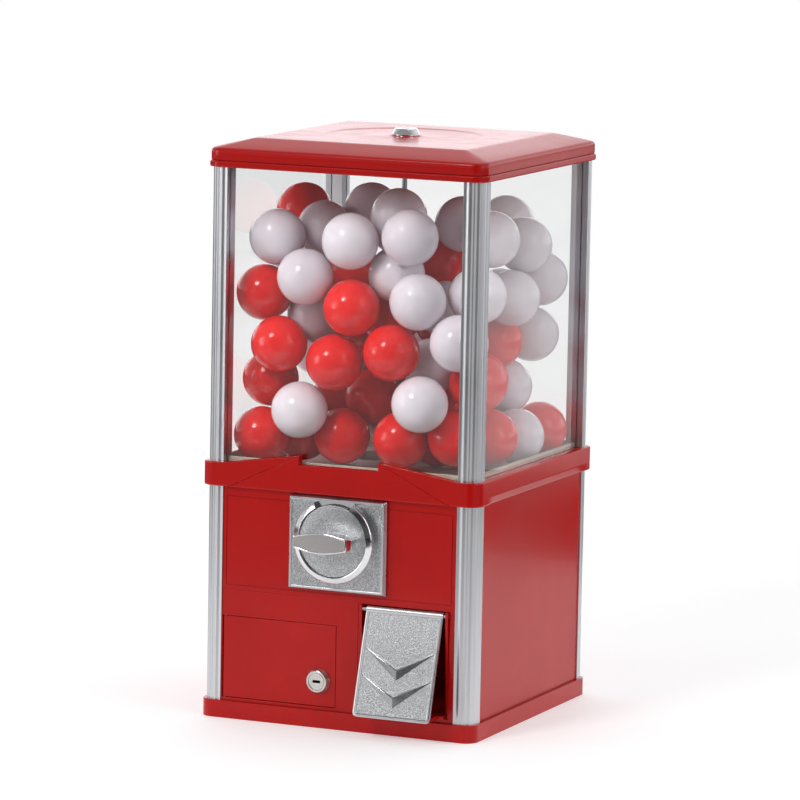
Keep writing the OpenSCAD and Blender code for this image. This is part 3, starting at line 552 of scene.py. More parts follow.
# %% Ease the cabinet, the mechanism and the inside
PAINTED = {"base_tray": 0.9, "left_panel": 0.3, "right_panel": 0.3, "back_panel": 0.3,
           "front_panel": 0.35, "top_frame": 1.0, "cash_door": 0.35, "chute": 0.4}
STEEL = {"handle_shaft": 0.4, "mech_housing": 0.4, "ratchet_wheel": 0.2, "pawl": 0.2, "pawl_pin": 0.2,
         "coin_carrier": 0.2, "chute_door_pin": 0.2, "cash_door_pins": 0.1, "lock_cam": 0.2,
         "cash_box": 0.3, "centre_rod": 0.3}
WINDOWS = {side + "_window": 0.2 for side in ("front", "left", "right", "back")}
for radii, material, slot in (
        (PAINTED, red_paint, "red_paint"), (STEEL, plain_steel, "plain_steel"),
        ({"hopper_pan": 0.4, "ball_guard": 0.4}, grey_plastic, "grey_plastic"),
        ({"product_wheel": 0.5, "drive_pinion": 0.4}, white_nylon, "white_nylon"),
        ({"rod_nuts": 0.3, "shaft_nut": 0.3}, brass, "brass"), (WINDOWS, clear_sheet, "clear_sheet")):
    for name, radius in radii.items():
        ease(name, material, slot, radius)

# %% [markdown]
# ## Fluted posts
# Each post is a drawn length: one section, the same from end to end. The section's outside runs along
# one flat, round the corner and along the other flat. Shallow flutes follow it: the outline moves
# inwards by a rounded wave. Behind them are the two slots that hold the sheets.

# %% Post section
FLAT_RUN = HALF - CORNER_R - POST_IN
FLUTES = 6
FLUTE_DEPTH = 0.5
SLOT_DEPTH = 4.0
SLOT_FIT = 0.1
SHEET = 2.0


def post_section(sheet_out):
    """The +X +Y post as a ring in mm. A distance s runs from 0 to the length of flat, quarter circle
    and flat; the point is on that path, moved inwards by depth * sin^2(pi * flutes * s / length)."""
    middle = HALF - CORNER_R
    bend = CORNER_R * np.pi / 2
    length = 2 * FLAT_RUN + bend
    s = np.linspace(0, length, 97)
    a = np.clip((s - FLAT_RUN) / CORNER_R, 0, np.pi / 2)
    before, after = np.clip(FLAT_RUN - s, 0, None), np.clip(s - FLAT_RUN - bend, 0, None)
    inward = FLUTE_DEPTH * np.sin(np.pi * FLUTES * s / length) ** 2
    radius = CORNER_R - inward
    outer = np.column_stack([middle + radius * np.cos(a) - after,
                             middle + radius * np.sin(a) - before])
    low, high, deep = sheet_out - SHEET - SLOT_FIT, sheet_out + SLOT_FIT, POST_IN + SLOT_DEPTH
    inner = np.array([[POST_IN, high], [deep, high], [deep, low], [POST_IN, low], [POST_IN, POST_IN],
                      [low, POST_IN], [low, deep], [high, deep], [high, POST_IN]])
    return np.vstack([outer, inner])


# %% Eight posts
for level_name, low, high, sheet_out in (("lower", BASE_H, COLLAR_Z, PANEL_OUT),
                                         ("upper", COLLAR_TOP, FRAME_Z, WINDOW_OUT)):
    section = post_section(sheet_out)
    for depth_name, along_y in (("front", -1), ("back", 1)):
        for side_name, along_x in (("left", -1), ("right", 1)):
            ring = section * [along_x, along_y]
            ends = [np.column_stack([ring, np.full(len(ring), z)]) for z in (low, high)]
            name = f"{level_name}_post_{depth_name}_{side_name}"
            dress(name + "_fluted", [band(ends), lid_on(ends[0]), lid_on(ends[1])], [post_aluminium],
                  "cabinet", "post_aluminium", name, sharp=50)
print("post section:", len(section), "points")

# %% [markdown]
# ## Collar
# The collar joins the cabinet and the globe. Its front rises in two wings with a low brow between
# them. Two creases, each a thin groove, run down from the wings' peaks, and the middle lies a little
# deeper. The section is carried round a square; the rows of its outer face follow the wings' height.

# %% Collar sizes
COLLAR_HALF, COLLAR_WALL, LEDGE_W, LEDGE_H = 120.0, 11.0, 4.5, 3.2
GROOVE_W, GROOVE_DEPTH = 0.9, 0.9
WING_X, WING_H, BROW_H, WING_T = 34.3, 10.0, 3.0, 7.8
CREASE_FOOT, CREASE_DEPTH, CREASE_RUN = 95.0, 0.25, 1.6
BAND_TOP, BAND_IN, BAND_END = 192.3, 1.3, 99.0
ROUND, ROUND_IN = 0.9, 0.25  # an edge's round, and how far in its middle row lies
FRONT_RUN = POST_IN + 7


def collar_outline():
    """Places and outward normals round the collar, dense along the front, where x runs from corner to
    corner with two columns at each steep end of a wing."""
    a = np.linspace(0, np.pi / 2, 13)
    quarter = np.column_stack([np.cos(a), np.sin(a)])
    middle = COLLAR_HALF - CORNER_R
    steep = [side * (WING_X + gap) for side in (-1, 1) for gap in (-0.02, 0.02)]
    dense = np.sort(np.concatenate([np.linspace(-FRONT_RUN, FRONT_RUN, 481), steep]))
    places, normals = [], []
    for c, d in ((1, 0), (0, 1), (-1, 0), (0, -1)):
        turn = np.array([[c, d], [-d, c]])
        run = dense[::-1] if c == -1 else np.linspace(middle - 1, 1 - middle, 25)
        flat = np.column_stack([run, np.full(len(run), COLLAR_HALF)])
        places.append(np.vstack([quarter * CORNER_R + middle, flat]) @ turn)
        normals.append(np.vstack([quarter, np.tile([0.0, 1.0], (len(run), 1))]) @ turn)
    return np.vstack(places), np.vstack(normals)


def collar_row(inset, z):
    """A ring of points at heights z, drawn in from the outline by insets: along the normal while the
    corner's radius lasts, and as a square beyond it."""
    inset = np.broadcast_to(inset, len(outline))
    limit = (COLLAR_HALF - inset)[:, None]
    along_normal = outline - outward * np.minimum(inset, CORNER_R)[:, None]
    xy = np.clip(along_normal, -limit, limit)
    return np.column_stack([xy, np.broadcast_to(z, len(outline))])


# %% Collar
outline, outward = collar_outline()
x_away, y_away = np.abs(outline.T)
is_front = (outward[:, 1] < -0.999) & (x_away <= POST_IN)
wing = np.where(x_away < WING_X, BROW_H, WING_H * (POST_IN - x_away) / (POST_IN - WING_X))
top_z = COLLAR_TOP + np.where(is_front, wing, 0)


def face_inset(z):
    """How deep the outer face lies: a little deeper between the two creases on the front, each a thin
    groove from a wing's peak to the collar's foot, and a slope along the foot of the other sides."""
    peak = COLLAR_TOP + WING_H
    crease_x = WING_X + (peak - z) * (CREASE_FOOT - WING_X) / (peak - COLLAR_Z)
    deep = (CREASE_DEPTH * (1 - smooth_step(x_away, crease_x - CREASE_RUN, crease_x))
            + GROOVE_DEPTH * (1 - smooth_step(np.abs(x_away - crease_x), 0, GROOVE_W)))
    slope = BAND_IN * np.clip((BAND_TOP - z) / (BAND_TOP - COLLAR_Z), 0, 1)
    slope = slope * (np.minimum(x_away, y_away) < BAND_END)
    return np.where(is_front, deep, np.where(outward[:, 1] > -0.5, slope, 0))


foot_inset, top_inset = face_inset(COLLAR_Z), face_inset(top_z)
outer_z = [COLLAR_Z + ROUND + share * (top_z - 2 * ROUND - COLLAR_Z) for share in np.linspace(0, 1, 41)]
inner_foot = COLLAR_Z + LEDGE_H
rows = [collar_row(*row) for row in (
    (ROUND + foot_inset, COLLAR_Z), (ROUND_IN + foot_inset, COLLAR_Z + ROUND_IN),
    *[(face_inset(z), z) for z in outer_z],
    (top_inset + ROUND_IN, top_z - ROUND_IN), (top_inset + ROUND, top_z),
    (WING_T - 0.8, top_z), (WING_T, np.maximum(top_z - 0.8, COLLAR_TOP)), (WING_T, COLLAR_TOP),
    (COLLAR_WALL - 0.5, COLLAR_TOP), (COLLAR_WALL, COLLAR_TOP - 0.5), (COLLAR_WALL, inner_foot),
    (COLLAR_WALL + LEDGE_W, inner_foot), (COLLAR_WALL + LEDGE_W, COLLAR_Z))]
collar = dress("collar_folded", [closed(rows)], [red_paint], "cabinet", "red_paint", "mid_collar", sharp=28)
print("collar:", len(collar.data.polygons), "faces")

# %% [markdown]
# ## Lid
# The lid is one pressed sheet: a rolled lower edge, an upright side with a soft shoulder, a slope on
# all four sides and a flat top with a shallow round dish about the lock. The rows go from the foot over
# the top to the lock's hole and back underneath. On the way the square rings turn into circles.

# %% Pressed lid
LID_WALL = 2.2
LID_UP = 17.1  # the flat top above the lid's foot
TOP_INSET = 40.0
DISH_R, DISH_UP = 62.0, 16.42
BORE_R = 7.56


def lid_rows(outside):
    """Rings of the lid's skin: (inset, height) on a square whose corner radius shrinks by the inset,
    then a blend from the last square to circles. The inside is the same skin, a wall lower and smaller."""
    profile = [(0.9, 0.0), (0.25, 0.35), (0, 1.1), (0, 7.6), (0.35, 8.9), (1.5, 9.9), (3.0, 10.5),
               (14, 13.45), (25.2, 16.3), (27.4, 16.85), (29.4, 17.05), (32, LID_UP), (TOP_INSET, LID_UP)]
    wall = 0 if outside else LID_WALL
    rows = []
    for inset, height in profile:
        ring = square_ring(LID_HALF - wall - inset, max(CORNER_R - 0.3 * inset - wall, 3.0))
        z = LID_Z + (height if outside else max(height - wall, 0))
        rows.append(np.column_stack([ring, np.full(len(ring), z)]))
    square = square_ring(LID_HALF - wall - TOP_INSET, 3.0)
    unit = square / np.linalg.norm(square, axis=1, keepdims=True)
    for share, radius, height in (
            (0.5, 72, LID_UP), (1, 66, LID_UP), (1, 64, 17.02), (1, DISH_R, 16.75), (1, 60, 16.5),
            (1, 57.5, DISH_UP), (1, 36, DISH_UP), (1, 15, DISH_UP), (1, 13.6, 16.6), (1, 12.4, 17.0),
            (1, 11.6, LID_UP), (1, BORE_R, LID_UP)):
        ring = (1 - share) * square + share * radius * unit
        rows.append(np.column_stack([ring, np.full(len(ring), LID_Z + height - wall)]))
    return rows


skin = lid_rows(True) + lid_rows(False)[::-1]
lid = dress("pressed_lid", [closed(skin)], [red_paint], "lid_set", "red_paint", "lid", sharp=38)
print("lid:", len(lid.data.polygons), "faces")

# %% [markdown]
# ## Locks
# A lock's head is turned: a cone with a rounded rim about the plug, and on the cash lock a fine
# groove inside the rim. The profile starts and ends at the plug's bore, so its rows close on
# themselves into a solid ring.

# %% Turned lock bodies
CASH_LOCK_AT, FORWARDS = (-15.6, -PANEL_OUT, 37.3), (0, -1, 0)
LID_LOCK_AT, UPWARDS = (0, 0, LID_TOP), (0, 0, 1)
PLUG_BORE = 4.56


def lock_head(name, profile, centre, along, body, node, material):
    """A closed profile turned round the lock's axis."""
    return dress(name, [closed(turned(profile, centre, along, 72))], [material], body, "lock_chrome", node,
                 sharp=26)


lid_lock = [(PLUG_BORE, -20), (PLUG_BORE, 4.9), (4.8, 5.3), (5.4, 5.45), (7.9, 5.58), (8.5, 5.45),
            (9.1, 4.9), (11.2, 1.4), (11.5, 0.9), (11.5, 0.2), (11.3, 0.02), (7.5, 0.02), (7.5, -5),
            (7.2, -5.4), (7.2, -19.4), (6.8, -20)]
cash_lock = [(PLUG_BORE, -12), (PLUG_BORE, 3.9), (6.3, 3.9), (6.45, 3.4), (6.75, 3.4), (6.9, 4.1),
             (7.2, 4.35), (8.2, 4.35), (8.6, 4.1), (8.9, 3.5), (9.9, 1.2), (10.2, 0.7), (10.2, 0.15),
             (10.0, 0.02), (8, 0.02), (8, -3.2), (7.7, -3.5), (7.7, -11.6), (7.3, -12)]
lock_head("lid_lock_head", lid_lock, LID_LOCK_AT, UPWARDS, "lid_set", "lid_lock_body", lock_chrome)
lock_head("cash_lock_head", cash_lock, CASH_LOCK_AT, FORWARDS, "cash_flap", "lock_body", lock_satin)

# %% [markdown]
# The plug is a turned disc with a key slot sunk into its face. The slot's rows are rings that have a
# slot's shape, so its walls and floor are one surface with the face, coloured near black as painted shade.

# %% Plugs


def plug(name, centre, along, face, foot, slot_half, body, node, material):
    """Rings from the plug's foot to its face, then slot-shaped rings down into the key slot, in painted
    shade. A slot ring is a circle whose two sides are clipped to half its width: (a cos t, clip(a sin t))."""
    t = np.linspace(0, 2 * np.pi, 64, endpoint=False)
    side = np.array([1.0, 0, 0])
    other = np.cross(np.asarray(along, float), side)

    def ring(x, y, height):
        return (np.asarray(centre, float) + np.outer(x, side) + np.outer(y, other)
                + height * np.asarray(along, float))

    round_rows = [ring(r * np.cos(t), r * np.sin(t), h) for r, h in (
        (0, foot), (4.5, foot), (4.5, face - 0.06), (4.44, face), (slot_half + 0.5, face))]
    slot_rows = [ring(a * np.cos(t), np.clip(a * np.sin(t), -w, w), h) for a, w, h in (
        (slot_half, 1.15, face), (slot_half - 0.05, 1.1, face - 0.1),
        (slot_half - 0.2, 0.95, face - 3), (0, 0, face - 3))]
    # The slot's walls and floor take the near-black painted shade.
    return dress(name, [band(round_rows + slot_rows[:2]), band(slot_rows[1:], 1)], [material, keyway_painted_shade], body,
                 "lock_chrome", node, sharp=30)


plug("cash_lock_plug", CASH_LOCK_AT, FORWARDS, 3.9, -12.2, 3.4, "cash_cam", "lock_plug", lock_satin)
plug("lid_lock_plug_turned", LID_LOCK_AT, UPWARDS, 5.2, -20, 3.2, "lid_plug", "lid_lock_plug", lock_chrome)

# %% [markdown]
# ## Coin plate
# The plate is one zinc casting. A smooth sloping border frames a hammered field, and a polished ring
# stands on it with a flat on top and a gap in the flat, where the coin goes in. The rows of the plate
# start as rectangles and end as circles at the ring's bore.

# %% Plate
PLATE_MIDDLE = 147.75
PLATE_HALF_W, PLATE_HALF_H = 42.0, 37.75
RING_R, RING_BORE, RING_FLAT = 34.0, 29.0, 31.0


def plate_ring(inset, y):
    """The plate's outline, drawn in by an inset, at depth y."""
    ring = square_ring(100, 2.0) / 100
    return np.column_stack([ring[:, 0] * (PLATE_HALF_W - inset), np.full(len(ring), y),
                            PLATE_MIDDLE + ring[:, 1] * (PLATE_HALF_H - inset)])


def axis_ring(like, radius, y):
    """A circle about the handle's axis, with its points in the directions of another ring's points."""
    away = like[:, [0, 2]] - [0, PLATE_MIDDLE]
    away /= np.linalg.norm(away, axis=1, keepdims=True)
    return np.column_stack([away[:, 0] * radius, np.full(len(like), y), AXIS_Z + away[:, 1] * radius])


border = [plate_ring(*row) for row in (
    (0, -PANEL_OUT), (0, -118.3), (0.25, -118.7), (1.5, -121.2), (1.9, PLATE_Y), (3.0, PLATE_Y),
    (3.4, -121.3), (3.7, FIELD_Y))]
edge = border[-1]
bore_front = axis_ring(edge, RING_BORE + 0.02, FIELD_Y)
field = [edge, (edge + axis_ring(edge, 35.0, FIELD_Y)) / 2, axis_ring(edge, 33.0, FIELD_Y), bore_front]
bore = [bore_front, axis_ring(edge, RING_BORE + 0.02, -PANEL_OUT), border[0]]
dress("coin_plate_cast", [band(border), band(field, 1), band(bore)], [cast_border, cast_chrome],
      "cabinet", "cast_chrome", "coin_plate", sharp=24)

# %% Ring
SLOT_HALF = 15.5
gap = math.asin(SLOT_HALF / (RING_FLAT + 0.6))


def ring_rows(profile, start, stop, steps):
    """A profile of (radius, y) carried about the handle's axis, its top pressed down to the flat."""
    t = np.linspace(start, stop, steps)
    radius, y = np.asarray(profile, float).T
    x = radius[:, None] * np.cos(t)
    z = np.minimum(radius[:, None] * np.sin(t), RING_FLAT)
    return np.stack([x, np.broadcast_to(y[:, None], x.shape), AXIS_Z + z], axis=-1)


foot = ring_rows([(RING_BORE, -120.6), (RING_BORE, -123.6), (RING_R, -123.6), (RING_R, -120.6)],
                 0, 2 * np.pi, 145)[:, :-1]
front = ring_rows([(RING_BORE, -123.4), (RING_BORE, RING_Y + 0.5), (RING_BORE + 0.15, RING_Y + 0.15),
                   (RING_BORE + 0.5, RING_Y), (32.9, -128.5), (33.6, -128.0), (33.95, -127.3),
                   (RING_R, -126.6), (RING_R, -123.4)], np.pi / 2 + gap, 5 * np.pi / 2 - gap, 141)
dress("coin_ring", [closed(foot)], [lock_chrome], "cabinet", "cast_chrome", sharp=40)
dress("coin_ring_wall", [weave(front, close_rows=True), lid_on(front[:, 0]), lid_on(front[:, -1])],
      [lock_chrome], "cabinet", "cast_chrome", sharp=40)
print("slot opens", round(2 * SLOT_HALF, 1), "mm wide")

# %% [markdown]
# ## Handle
# The turning disc is hammered like the plate, with the coin's slot let into its top. The grip is
# boat-shaped: its height falls along a cosine from the middle to the ends, its front face is flat
# and finely textured, and its polished flanks draw in towards the disc.

# %% Disc
DISC_R, DISC_Y, DISC_BACK = 28.7, -128.6, -120.3
NOTCH_HALF, NOTCH_FLOOR, NOTCH_FRONT, NOTCH_BACK = 12.3, 14.3, -127.0, -124.6
t = np.linspace(0, 2 * np.pi, 120, endpoint=False)
circle = np.column_stack([np.cos(t), np.sin(t)])
notched = circle * DISC_R
in_notch = (np.abs(notched[:, 0]) < NOTCH_HALF) & (notched[:, 1] > 0)
notched[in_notch, 1] = NOTCH_FLOOR
outlines = [(circle * 0, DISC_Y), (circle * 14, DISC_Y), (circle * 27.9, DISC_Y),
            (circle * 28.5, DISC_Y + 0.2), (circle * DISC_R, DISC_Y + 0.7), (circle * DISC_R, NOTCH_FRONT),
            (notched, NOTCH_FRONT), (notched, NOTCH_BACK), (circle * DISC_R, NOTCH_BACK),
            (circle * DISC_R, DISC_BACK), (circle * 0, DISC_BACK)]
rows = [np.column_stack([xz[:, 0], np.full(len(t), y), AXIS_Z + xz[:, 1]]) for xz, y in outlines]
dress("handle_disc", [band(rows)], [cast_chrome], "handle_set", "cast_chrome", "handle")

# %% Grip
GRIP_HALF, GRIP_MIDDLE, GRIP_END, GRIP_Y, GRIP_UP = 22.7, 8.3, 4.9, -153.0, 1.7
GRIP_CORNER = 0.7
SUNK_Y = GRIP_Y + 0.35  # the face lies a little behind its bright edge


def grip_row(inset, y, longer=0.0):
    """The boat outline at depth y. The half height is end + (middle - end) * cos(pi x / length), and
    the corners are a little blunt; the outline is drawn in by the inset, and its ends reach out by
    the last value."""
    s = np.linspace(-1, 1, 49)
    x = GRIP_HALF * np.sin(s * np.pi / 2)
    high = GRIP_END + (GRIP_MIDDLE - GRIP_END) * np.cos(np.pi * x / (2 * GRIP_HALF))
    past = np.clip((np.abs(x) - GRIP_HALF + GRIP_CORNER) / GRIP_CORNER, 0, 1)
    high = (high - inset) * (0.88 + 0.12 * np.sqrt(1 - past ** 2))
    x = x * (GRIP_HALF - inset + longer) / GRIP_HALF
    across = np.concatenate([x, x[::-1]])
    height = np.concatenate([high, -high[::-1]])
    return np.column_stack([across, np.full(len(across), y), AXIS_Z + GRIP_UP + height])


flanks = [grip_row(*row) for row in (
    (3.6, -128.3, 1), (3.3, -129.4, 1), (3.1, -132, 1.5), (2.4, -139, 3), (1.1, -145.5, 3),
    (0.15, -151.4, 0.5), (0, -152.3), (0.2, -152.8), (0.55, GRIP_Y), (0.95, GRIP_Y),
    (1.15, GRIP_Y + 0.15))]
face_rows = [flanks[-1], grip_row(1.35, SUNK_Y), grip_row(2.4, SUNK_Y)]
dress("handle_grip", [band(flanks), band(face_rows, 1), lid_on(face_rows[-1], 1), lid_on(flanks[0])],
      [lock_chrome, handle_face], "handle_set", "cast_chrome", sharp=35)

# %% [markdown]
# ## Chute door
# The door hangs on a pin by a rolled knuckle and rests on the chute's lip, so it leans outwards. It
# is cast with a raised plain border, a hammered field and two V marks that point down, each one smooth
# slope. Its front is a height over a grid: border, field and marks are added up as one function.

# %% Door front
DOOR_W, DOOR_L, DOOR_T, DOOR_TILT = 65.5, 85.0, 2.4, math.radians(16.7)
DOOR_CORNER = 3.5
BORDER_W, BORDER_UP = 2.2, 0.9
MARK_REACH, MARK_UP, MARK_TALL, MARK_END = 30.0, 1.5, 7.4, 0.2
MARK_RISE = 23.6  # how far an arm climbs from the V's point to its end
MARK_DROP = 1.2  # the ridge falls back to the field within this
KNUCKLE_HALF, KNUCKLE_R = 32.75, 3.0
DOOR_FRONT = 0.6 - KNUCKLE_R  # the border's face, from the pin's axis
DOOR_GAP = 1.5  # from the grid's top row up to the pin's axis
MARK_FEET = (9.3, 31.0)  # height of each V's point above the door's foot


def mark_lines(x, foot):
    """How far out along a V mark's arm, from 0 to 1, and the arm's lower and upper line. The gap
    between them runs from MARK_TALL at the V's point to MARK_END at the arm's end."""
    away = np.abs(x) / MARK_REACH
    low = foot + MARK_RISE * away
    return away, low, low + MARK_TALL + (MARK_END - MARK_TALL) * away


def mark_height(x, z, foot):
    """One V mark: the height climbs from the lower line to the upper one, falls back above it, and
    dies out along the arms."""
    away, low, high = mark_lines(x, foot)
    climb = np.clip((z - low) / np.maximum(high - low, 0.01), 0, 1)
    fall = np.clip((high + MARK_DROP - z) / MARK_DROP, 0, 1)
    return MARK_UP * climb * fall * np.clip(1 - away, 0, 1)


def on_mark(x, z, foot):
    """True where a V mark has its smooth slope."""
    away, low, high = mark_lines(x, foot)
    return (away < 1) & (z > low) & (z < high)


u, v = np.meshgrid(np.linspace(-1, 1, 161), np.linspace(0, 1, 281))
z = v * (DOOR_L - DOOR_GAP)
corner_cut = DOOR_CORNER - np.sqrt(DOOR_CORNER ** 2 - np.clip(DOOR_CORNER - z, 0, DOOR_CORNER) ** 2)
half_w = DOOR_W / 2 - corner_cut
x = u * half_w
edge_gap = np.minimum(half_w - np.abs(x), z)
border_height = BORDER_UP * (1 - smooth_step(edge_gap, BORDER_W - 0.5, BORDER_W + 0.5))
rounding = 0.5 * (1 - smooth_step(edge_gap, 0, 0.7))
height = border_height - rounding + sum(mark_height(x, z, foot) for foot in MARK_FEET)
front = np.stack([x, DOOR_FRONT + BORDER_UP - height, z - DOOR_L], axis=-1)


def hang(points):
    """From the door's own frame, with the pin at its origin, to its place: a turn about X and a move."""
    c, s = math.cos(-DOOR_TILT), math.sin(-DOOR_TILT)
    x, y, z = np.moveaxis(np.asarray(points, float), -1, 0)
    return np.stack([x + DOOR_X, c * y - s * z + KNUCKLE_Y, s * y + c * z + KNUCKLE_Z], axis=-1)


# %% Door body
back_face = front.copy()
back_face[..., 1] = DOOR_FRONT + DOOR_T
rim, back_rim = (np.concatenate([sheet[0], sheet[1:, -1], sheet[-1, -2::-1], sheet[-2:0:-1, 0]])
                 for sheet in (front, back_face))
points, cells = weave(hang(front))
middle_gap = edge_gap[:-1, :-1].ravel()
smooth = np.any([on_mark(x, z, foot) for foot in MARK_FEET], axis=0)[:-1, :-1].ravel()
inner = (middle_gap > BORDER_W) & ~smooth
masks = (~inner & ~smooth, inner, smooth)
door_parts = [(points, [cell for cell, chosen in zip(cells, mask) if chosen], number)
              for number, mask in enumerate(masks)]
door_parts += [band([hang(rim), hang(back_rim)]), lid_on(hang(back_rim), 1)]
dress("chute_door_cast", door_parts, [cast_border, cast_chrome, mark_slope], "chute_flap", "cast_chrome",
      "chute_door", sharp=30)

roll_profile = [(1.56, -KNUCKLE_HALF), (2.6, -KNUCKLE_HALF), (KNUCKLE_R, 0.4 - KNUCKLE_HALF),
                (KNUCKLE_R, KNUCKLE_HALF - 0.4), (2.6, KNUCKLE_HALF), (1.56, KNUCKLE_HALF)]
roll = turned(roll_profile, (DOOR_X, KNUCKLE_Y, KNUCKLE_Z), (1, 0, 0), 40)
dress("chute_door_knuckle", [closed(roll)], [cast_border], "chute_flap", "cast_chrome", sharp=40)
print("door front:", front.shape[0], "by", front.shape[1], "points")

# %% [markdown]
# ## Pressed line
# A low bead stiffens the front panel. It is a half-round section carried along a line on the sheet:
# the point is line + half_width * cos(t) across + height * sin(t) outwards.

# %% Bead
BEAD_W, BEAD_H = 0.55, 0.4
BEAD_LEFT, BEAD_RIGHT, BEAD_TOP, BEAD_FOOT, BEAD_R = -100.5, 17.5, 103.5, 18.0, 2.0
turn = np.linspace(0, np.pi / 2, 9)
bend = np.column_stack([BEAD_RIGHT + BEAD_R * (np.sin(turn) - 1), BEAD_TOP + BEAD_R * (np.cos(turn) - 1)])
line = np.vstack([[[BEAD_LEFT, BEAD_TOP]], bend, [[BEAD_RIGHT, BEAD_FOOT]]])
step = np.gradient(line, axis=0)
step /= np.linalg.norm(step, axis=1, keepdims=True)
t = np.linspace(0, np.pi, 7)
x = line[:, :1] - BEAD_W * np.cos(t) * step[:, 1:]
z = line[:, 1:] + BEAD_W * np.cos(t) * step[:, :1]
y = np.broadcast_to(-PANEL_OUT + 0.05 - BEAD_H * np.sin(t), x.shape)
rows = np.stack([x, y, z], axis=-1)
dress("bead_lower", [band(rows), lid_on(rows[0]), lid_on(rows[-1])], [red_paint], "cabinet", "red_paint")

# %% [markdown]
# ## Balls
# The solids already hold the heap: every ball rests on its neighbours. Their places are read from
# the solids' meshes. Points that share an edge belong to one ball, so each point takes the lowest
# number among its neighbours until nothing changes, and the points of one number average to a centre.

# %% Ball centres and spheres
BALL_R, BALL_GAP = 22.5, 0.05  # the skin lies a little inside the solid
BALL_COLUMNS, BALL_ROWS = 44, 27


def read(items, key, width, kind=float):
    """One value of every item of a mesh, as a grid with so many columns."""
    values = np.empty(len(items) * width, kind)
    items.foreach_get(key, values)
    return values.reshape(-1, width)


def ball_centres(node):
    """The centres, in mm, of the separate balls in one solid."""
    merged = merged_copy("merged", node)
    places = read(merged.vertices, "co", 3) / MM
    edges = read(merged.edges, "vertices", 2, int)
    bpy.data.meshes.remove(merged)
    owner = np.arange(len(places))
    while True:
        least = np.minimum(owner[edges[:, 0]], owner[edges[:, 1]])
        spread = owner.copy()
        np.minimum.at(spread, edges[:, 0], least)
        np.minimum.at(spread, edges[:, 1], least)
        spread = spread[spread]
        if np.array_equal(spread, owner):
            break
        owner = spread
    boxes = [places[owner == number] for number in np.unique(owner)]
    return np.array([(p.min(0) + p.max(0)) / 2 for p in boxes])


def balls(name, node, material, slot, seed):
    """Spheres by longitude and latitude at all the centres, each turned and toned at random: the
    point is r * (cos b cos a, cos b sin a, sin b)."""
    centres = ball_centres(node)
    chance = np.random.default_rng(seed)
    a = np.linspace(0, 2 * np.pi, BALL_COLUMNS, endpoint=False)
    b = np.linspace(-np.pi / 2, np.pi / 2, BALL_ROWS)
    level_b = np.broadcast_to(np.sin(b)[:, None], (BALL_ROWS, BALL_COLUMNS))
    shell = np.stack([np.outer(np.cos(b), np.cos(a)), np.outer(np.cos(b), np.sin(a)), level_b], axis=-1)
    shell = shell * (BALL_R - BALL_GAP)
    parts, tones = [], []
    for centre in centres:
        turn, _ = np.linalg.qr(chance.normal(size=(3, 3)))
        parts.append(band(centre + shell @ turn))
        tones.append(chance.uniform())
    piece = make(name, parts, [material], sharp=80)
    places = read(piece.data.vertices, "co", 3)[:, None] / MM
    nearest = np.argmin(np.linalg.norm(places - centres, axis=2), axis=1)
    tone = piece.data.attributes.new("tone", "FLOAT", "POINT")
    tone.data.foreach_set("value", np.array(tones)[nearest])
    print(name, len(centres), "balls,", len(piece.data.polygons), "faces")
    return settle(piece, "cabinet", slot, node.name)


balls("red_balls_moulded", nodes["red_balls"], red_ball, "red_ball", 3)
balls("white_balls_moulded", nodes["white_balls"], white_ball, "white_ball", 5)

# %% [markdown]
# ## Floor and light
# A pale floor, a studio sky and four soft boxes. The sky is plain white to what the camera sees
# straight or through the sheets. To all other rays it is a room: bright just above the horizon and
# dark just below it, dimmer in front above the horizon and at the back below it, and with one dark
# end in front, so that glossy paint and metal have something to show.

# %% Floor
FLOOR_HALF, FLOOR_DROP = 700.0, 0.2
floor_material, tree, shader = finish("floor", Roughness=0.75, Emission_Color=(1, 1, 1, 1),
                                      Emission_Strength=0.35)
fibres = effect(tree, grain_group, Scale=60, Detail=4)
paper = mixed(tree, fibres, (232, 232, 232), (228, 228, 228))
tree.links.new(paper, shader.inputs["Base Color"])
floor_ring = np.array([[-1, -1, 0], [1, -1, 0], [1, 1, 0], [-1, 1, 0]]) * FLOOR_HALF - [0, 0, FLOOR_DROP]
floor = make("floor", [lid_on(floor_ring)], [floor_material])

# %% [markdown]
# A white card stands to the right and behind, out of the picture, where a photographer would put one:
# the right-hand sheet shows it as a pale veil. Only reflections see it, so it throws no shadow.

# %% White card
CARD_AT, CARD_AZIMUTH = (700.0, 950.0), math.radians(156)  # its middle, and the way that it runs
CARD_HALF, CARD_LOW, CARD_HIGH = 330.0, 28.0, 420.0
card_material, tree, shader = finish("card", Roughness=0.8, Base_Color=(0.1, 0.1, 0.1, 1),
                                     Emission_Color=(1, 1, 1, 1), Emission_Strength=1.05)
across = np.array([math.cos(CARD_AZIMUTH), math.sin(CARD_AZIMUTH)]) * CARD_HALF
card_ring = np.array([[*(CARD_AT + way * across), z] for way, z in (
    (-1, CARD_LOW), (1, CARD_LOW), (1, CARD_HIGH), (-1, CARD_HIGH))])
card = make("card", [lid_on(card_ring)], [card_material])
card.visible_camera = card.visible_diffuse = card.visible_shadow = card.visible_transmission = False

# %% Sky
# Height from straight down (0) to straight up (1), and the grey there.
SKY_STOPS = ((0.44, 0.5), (0.462, 0.12), (0.495, 0.12), (0.505, 2.0), (0.6, 1.8), (0.68, 0.9))
SKY_DOWN, SKY_UP = (0.5, 0.5, 0.5, 1), (0.8, 0.8, 0.81, 1)
DARK_END = math.radians(15), math.radians(8)  # azimuth and elevation of the dark end of the room
DARK_OUTER, DARK_INNER = math.radians(34), math.radians(24)  # it fades in between these angles
FRONT_Y, BACK_Y = -0.2, 0.5  # the front of the room turns to its back between these
FRONT_SHARE, DARK_SHARE = 0.4, 0.12

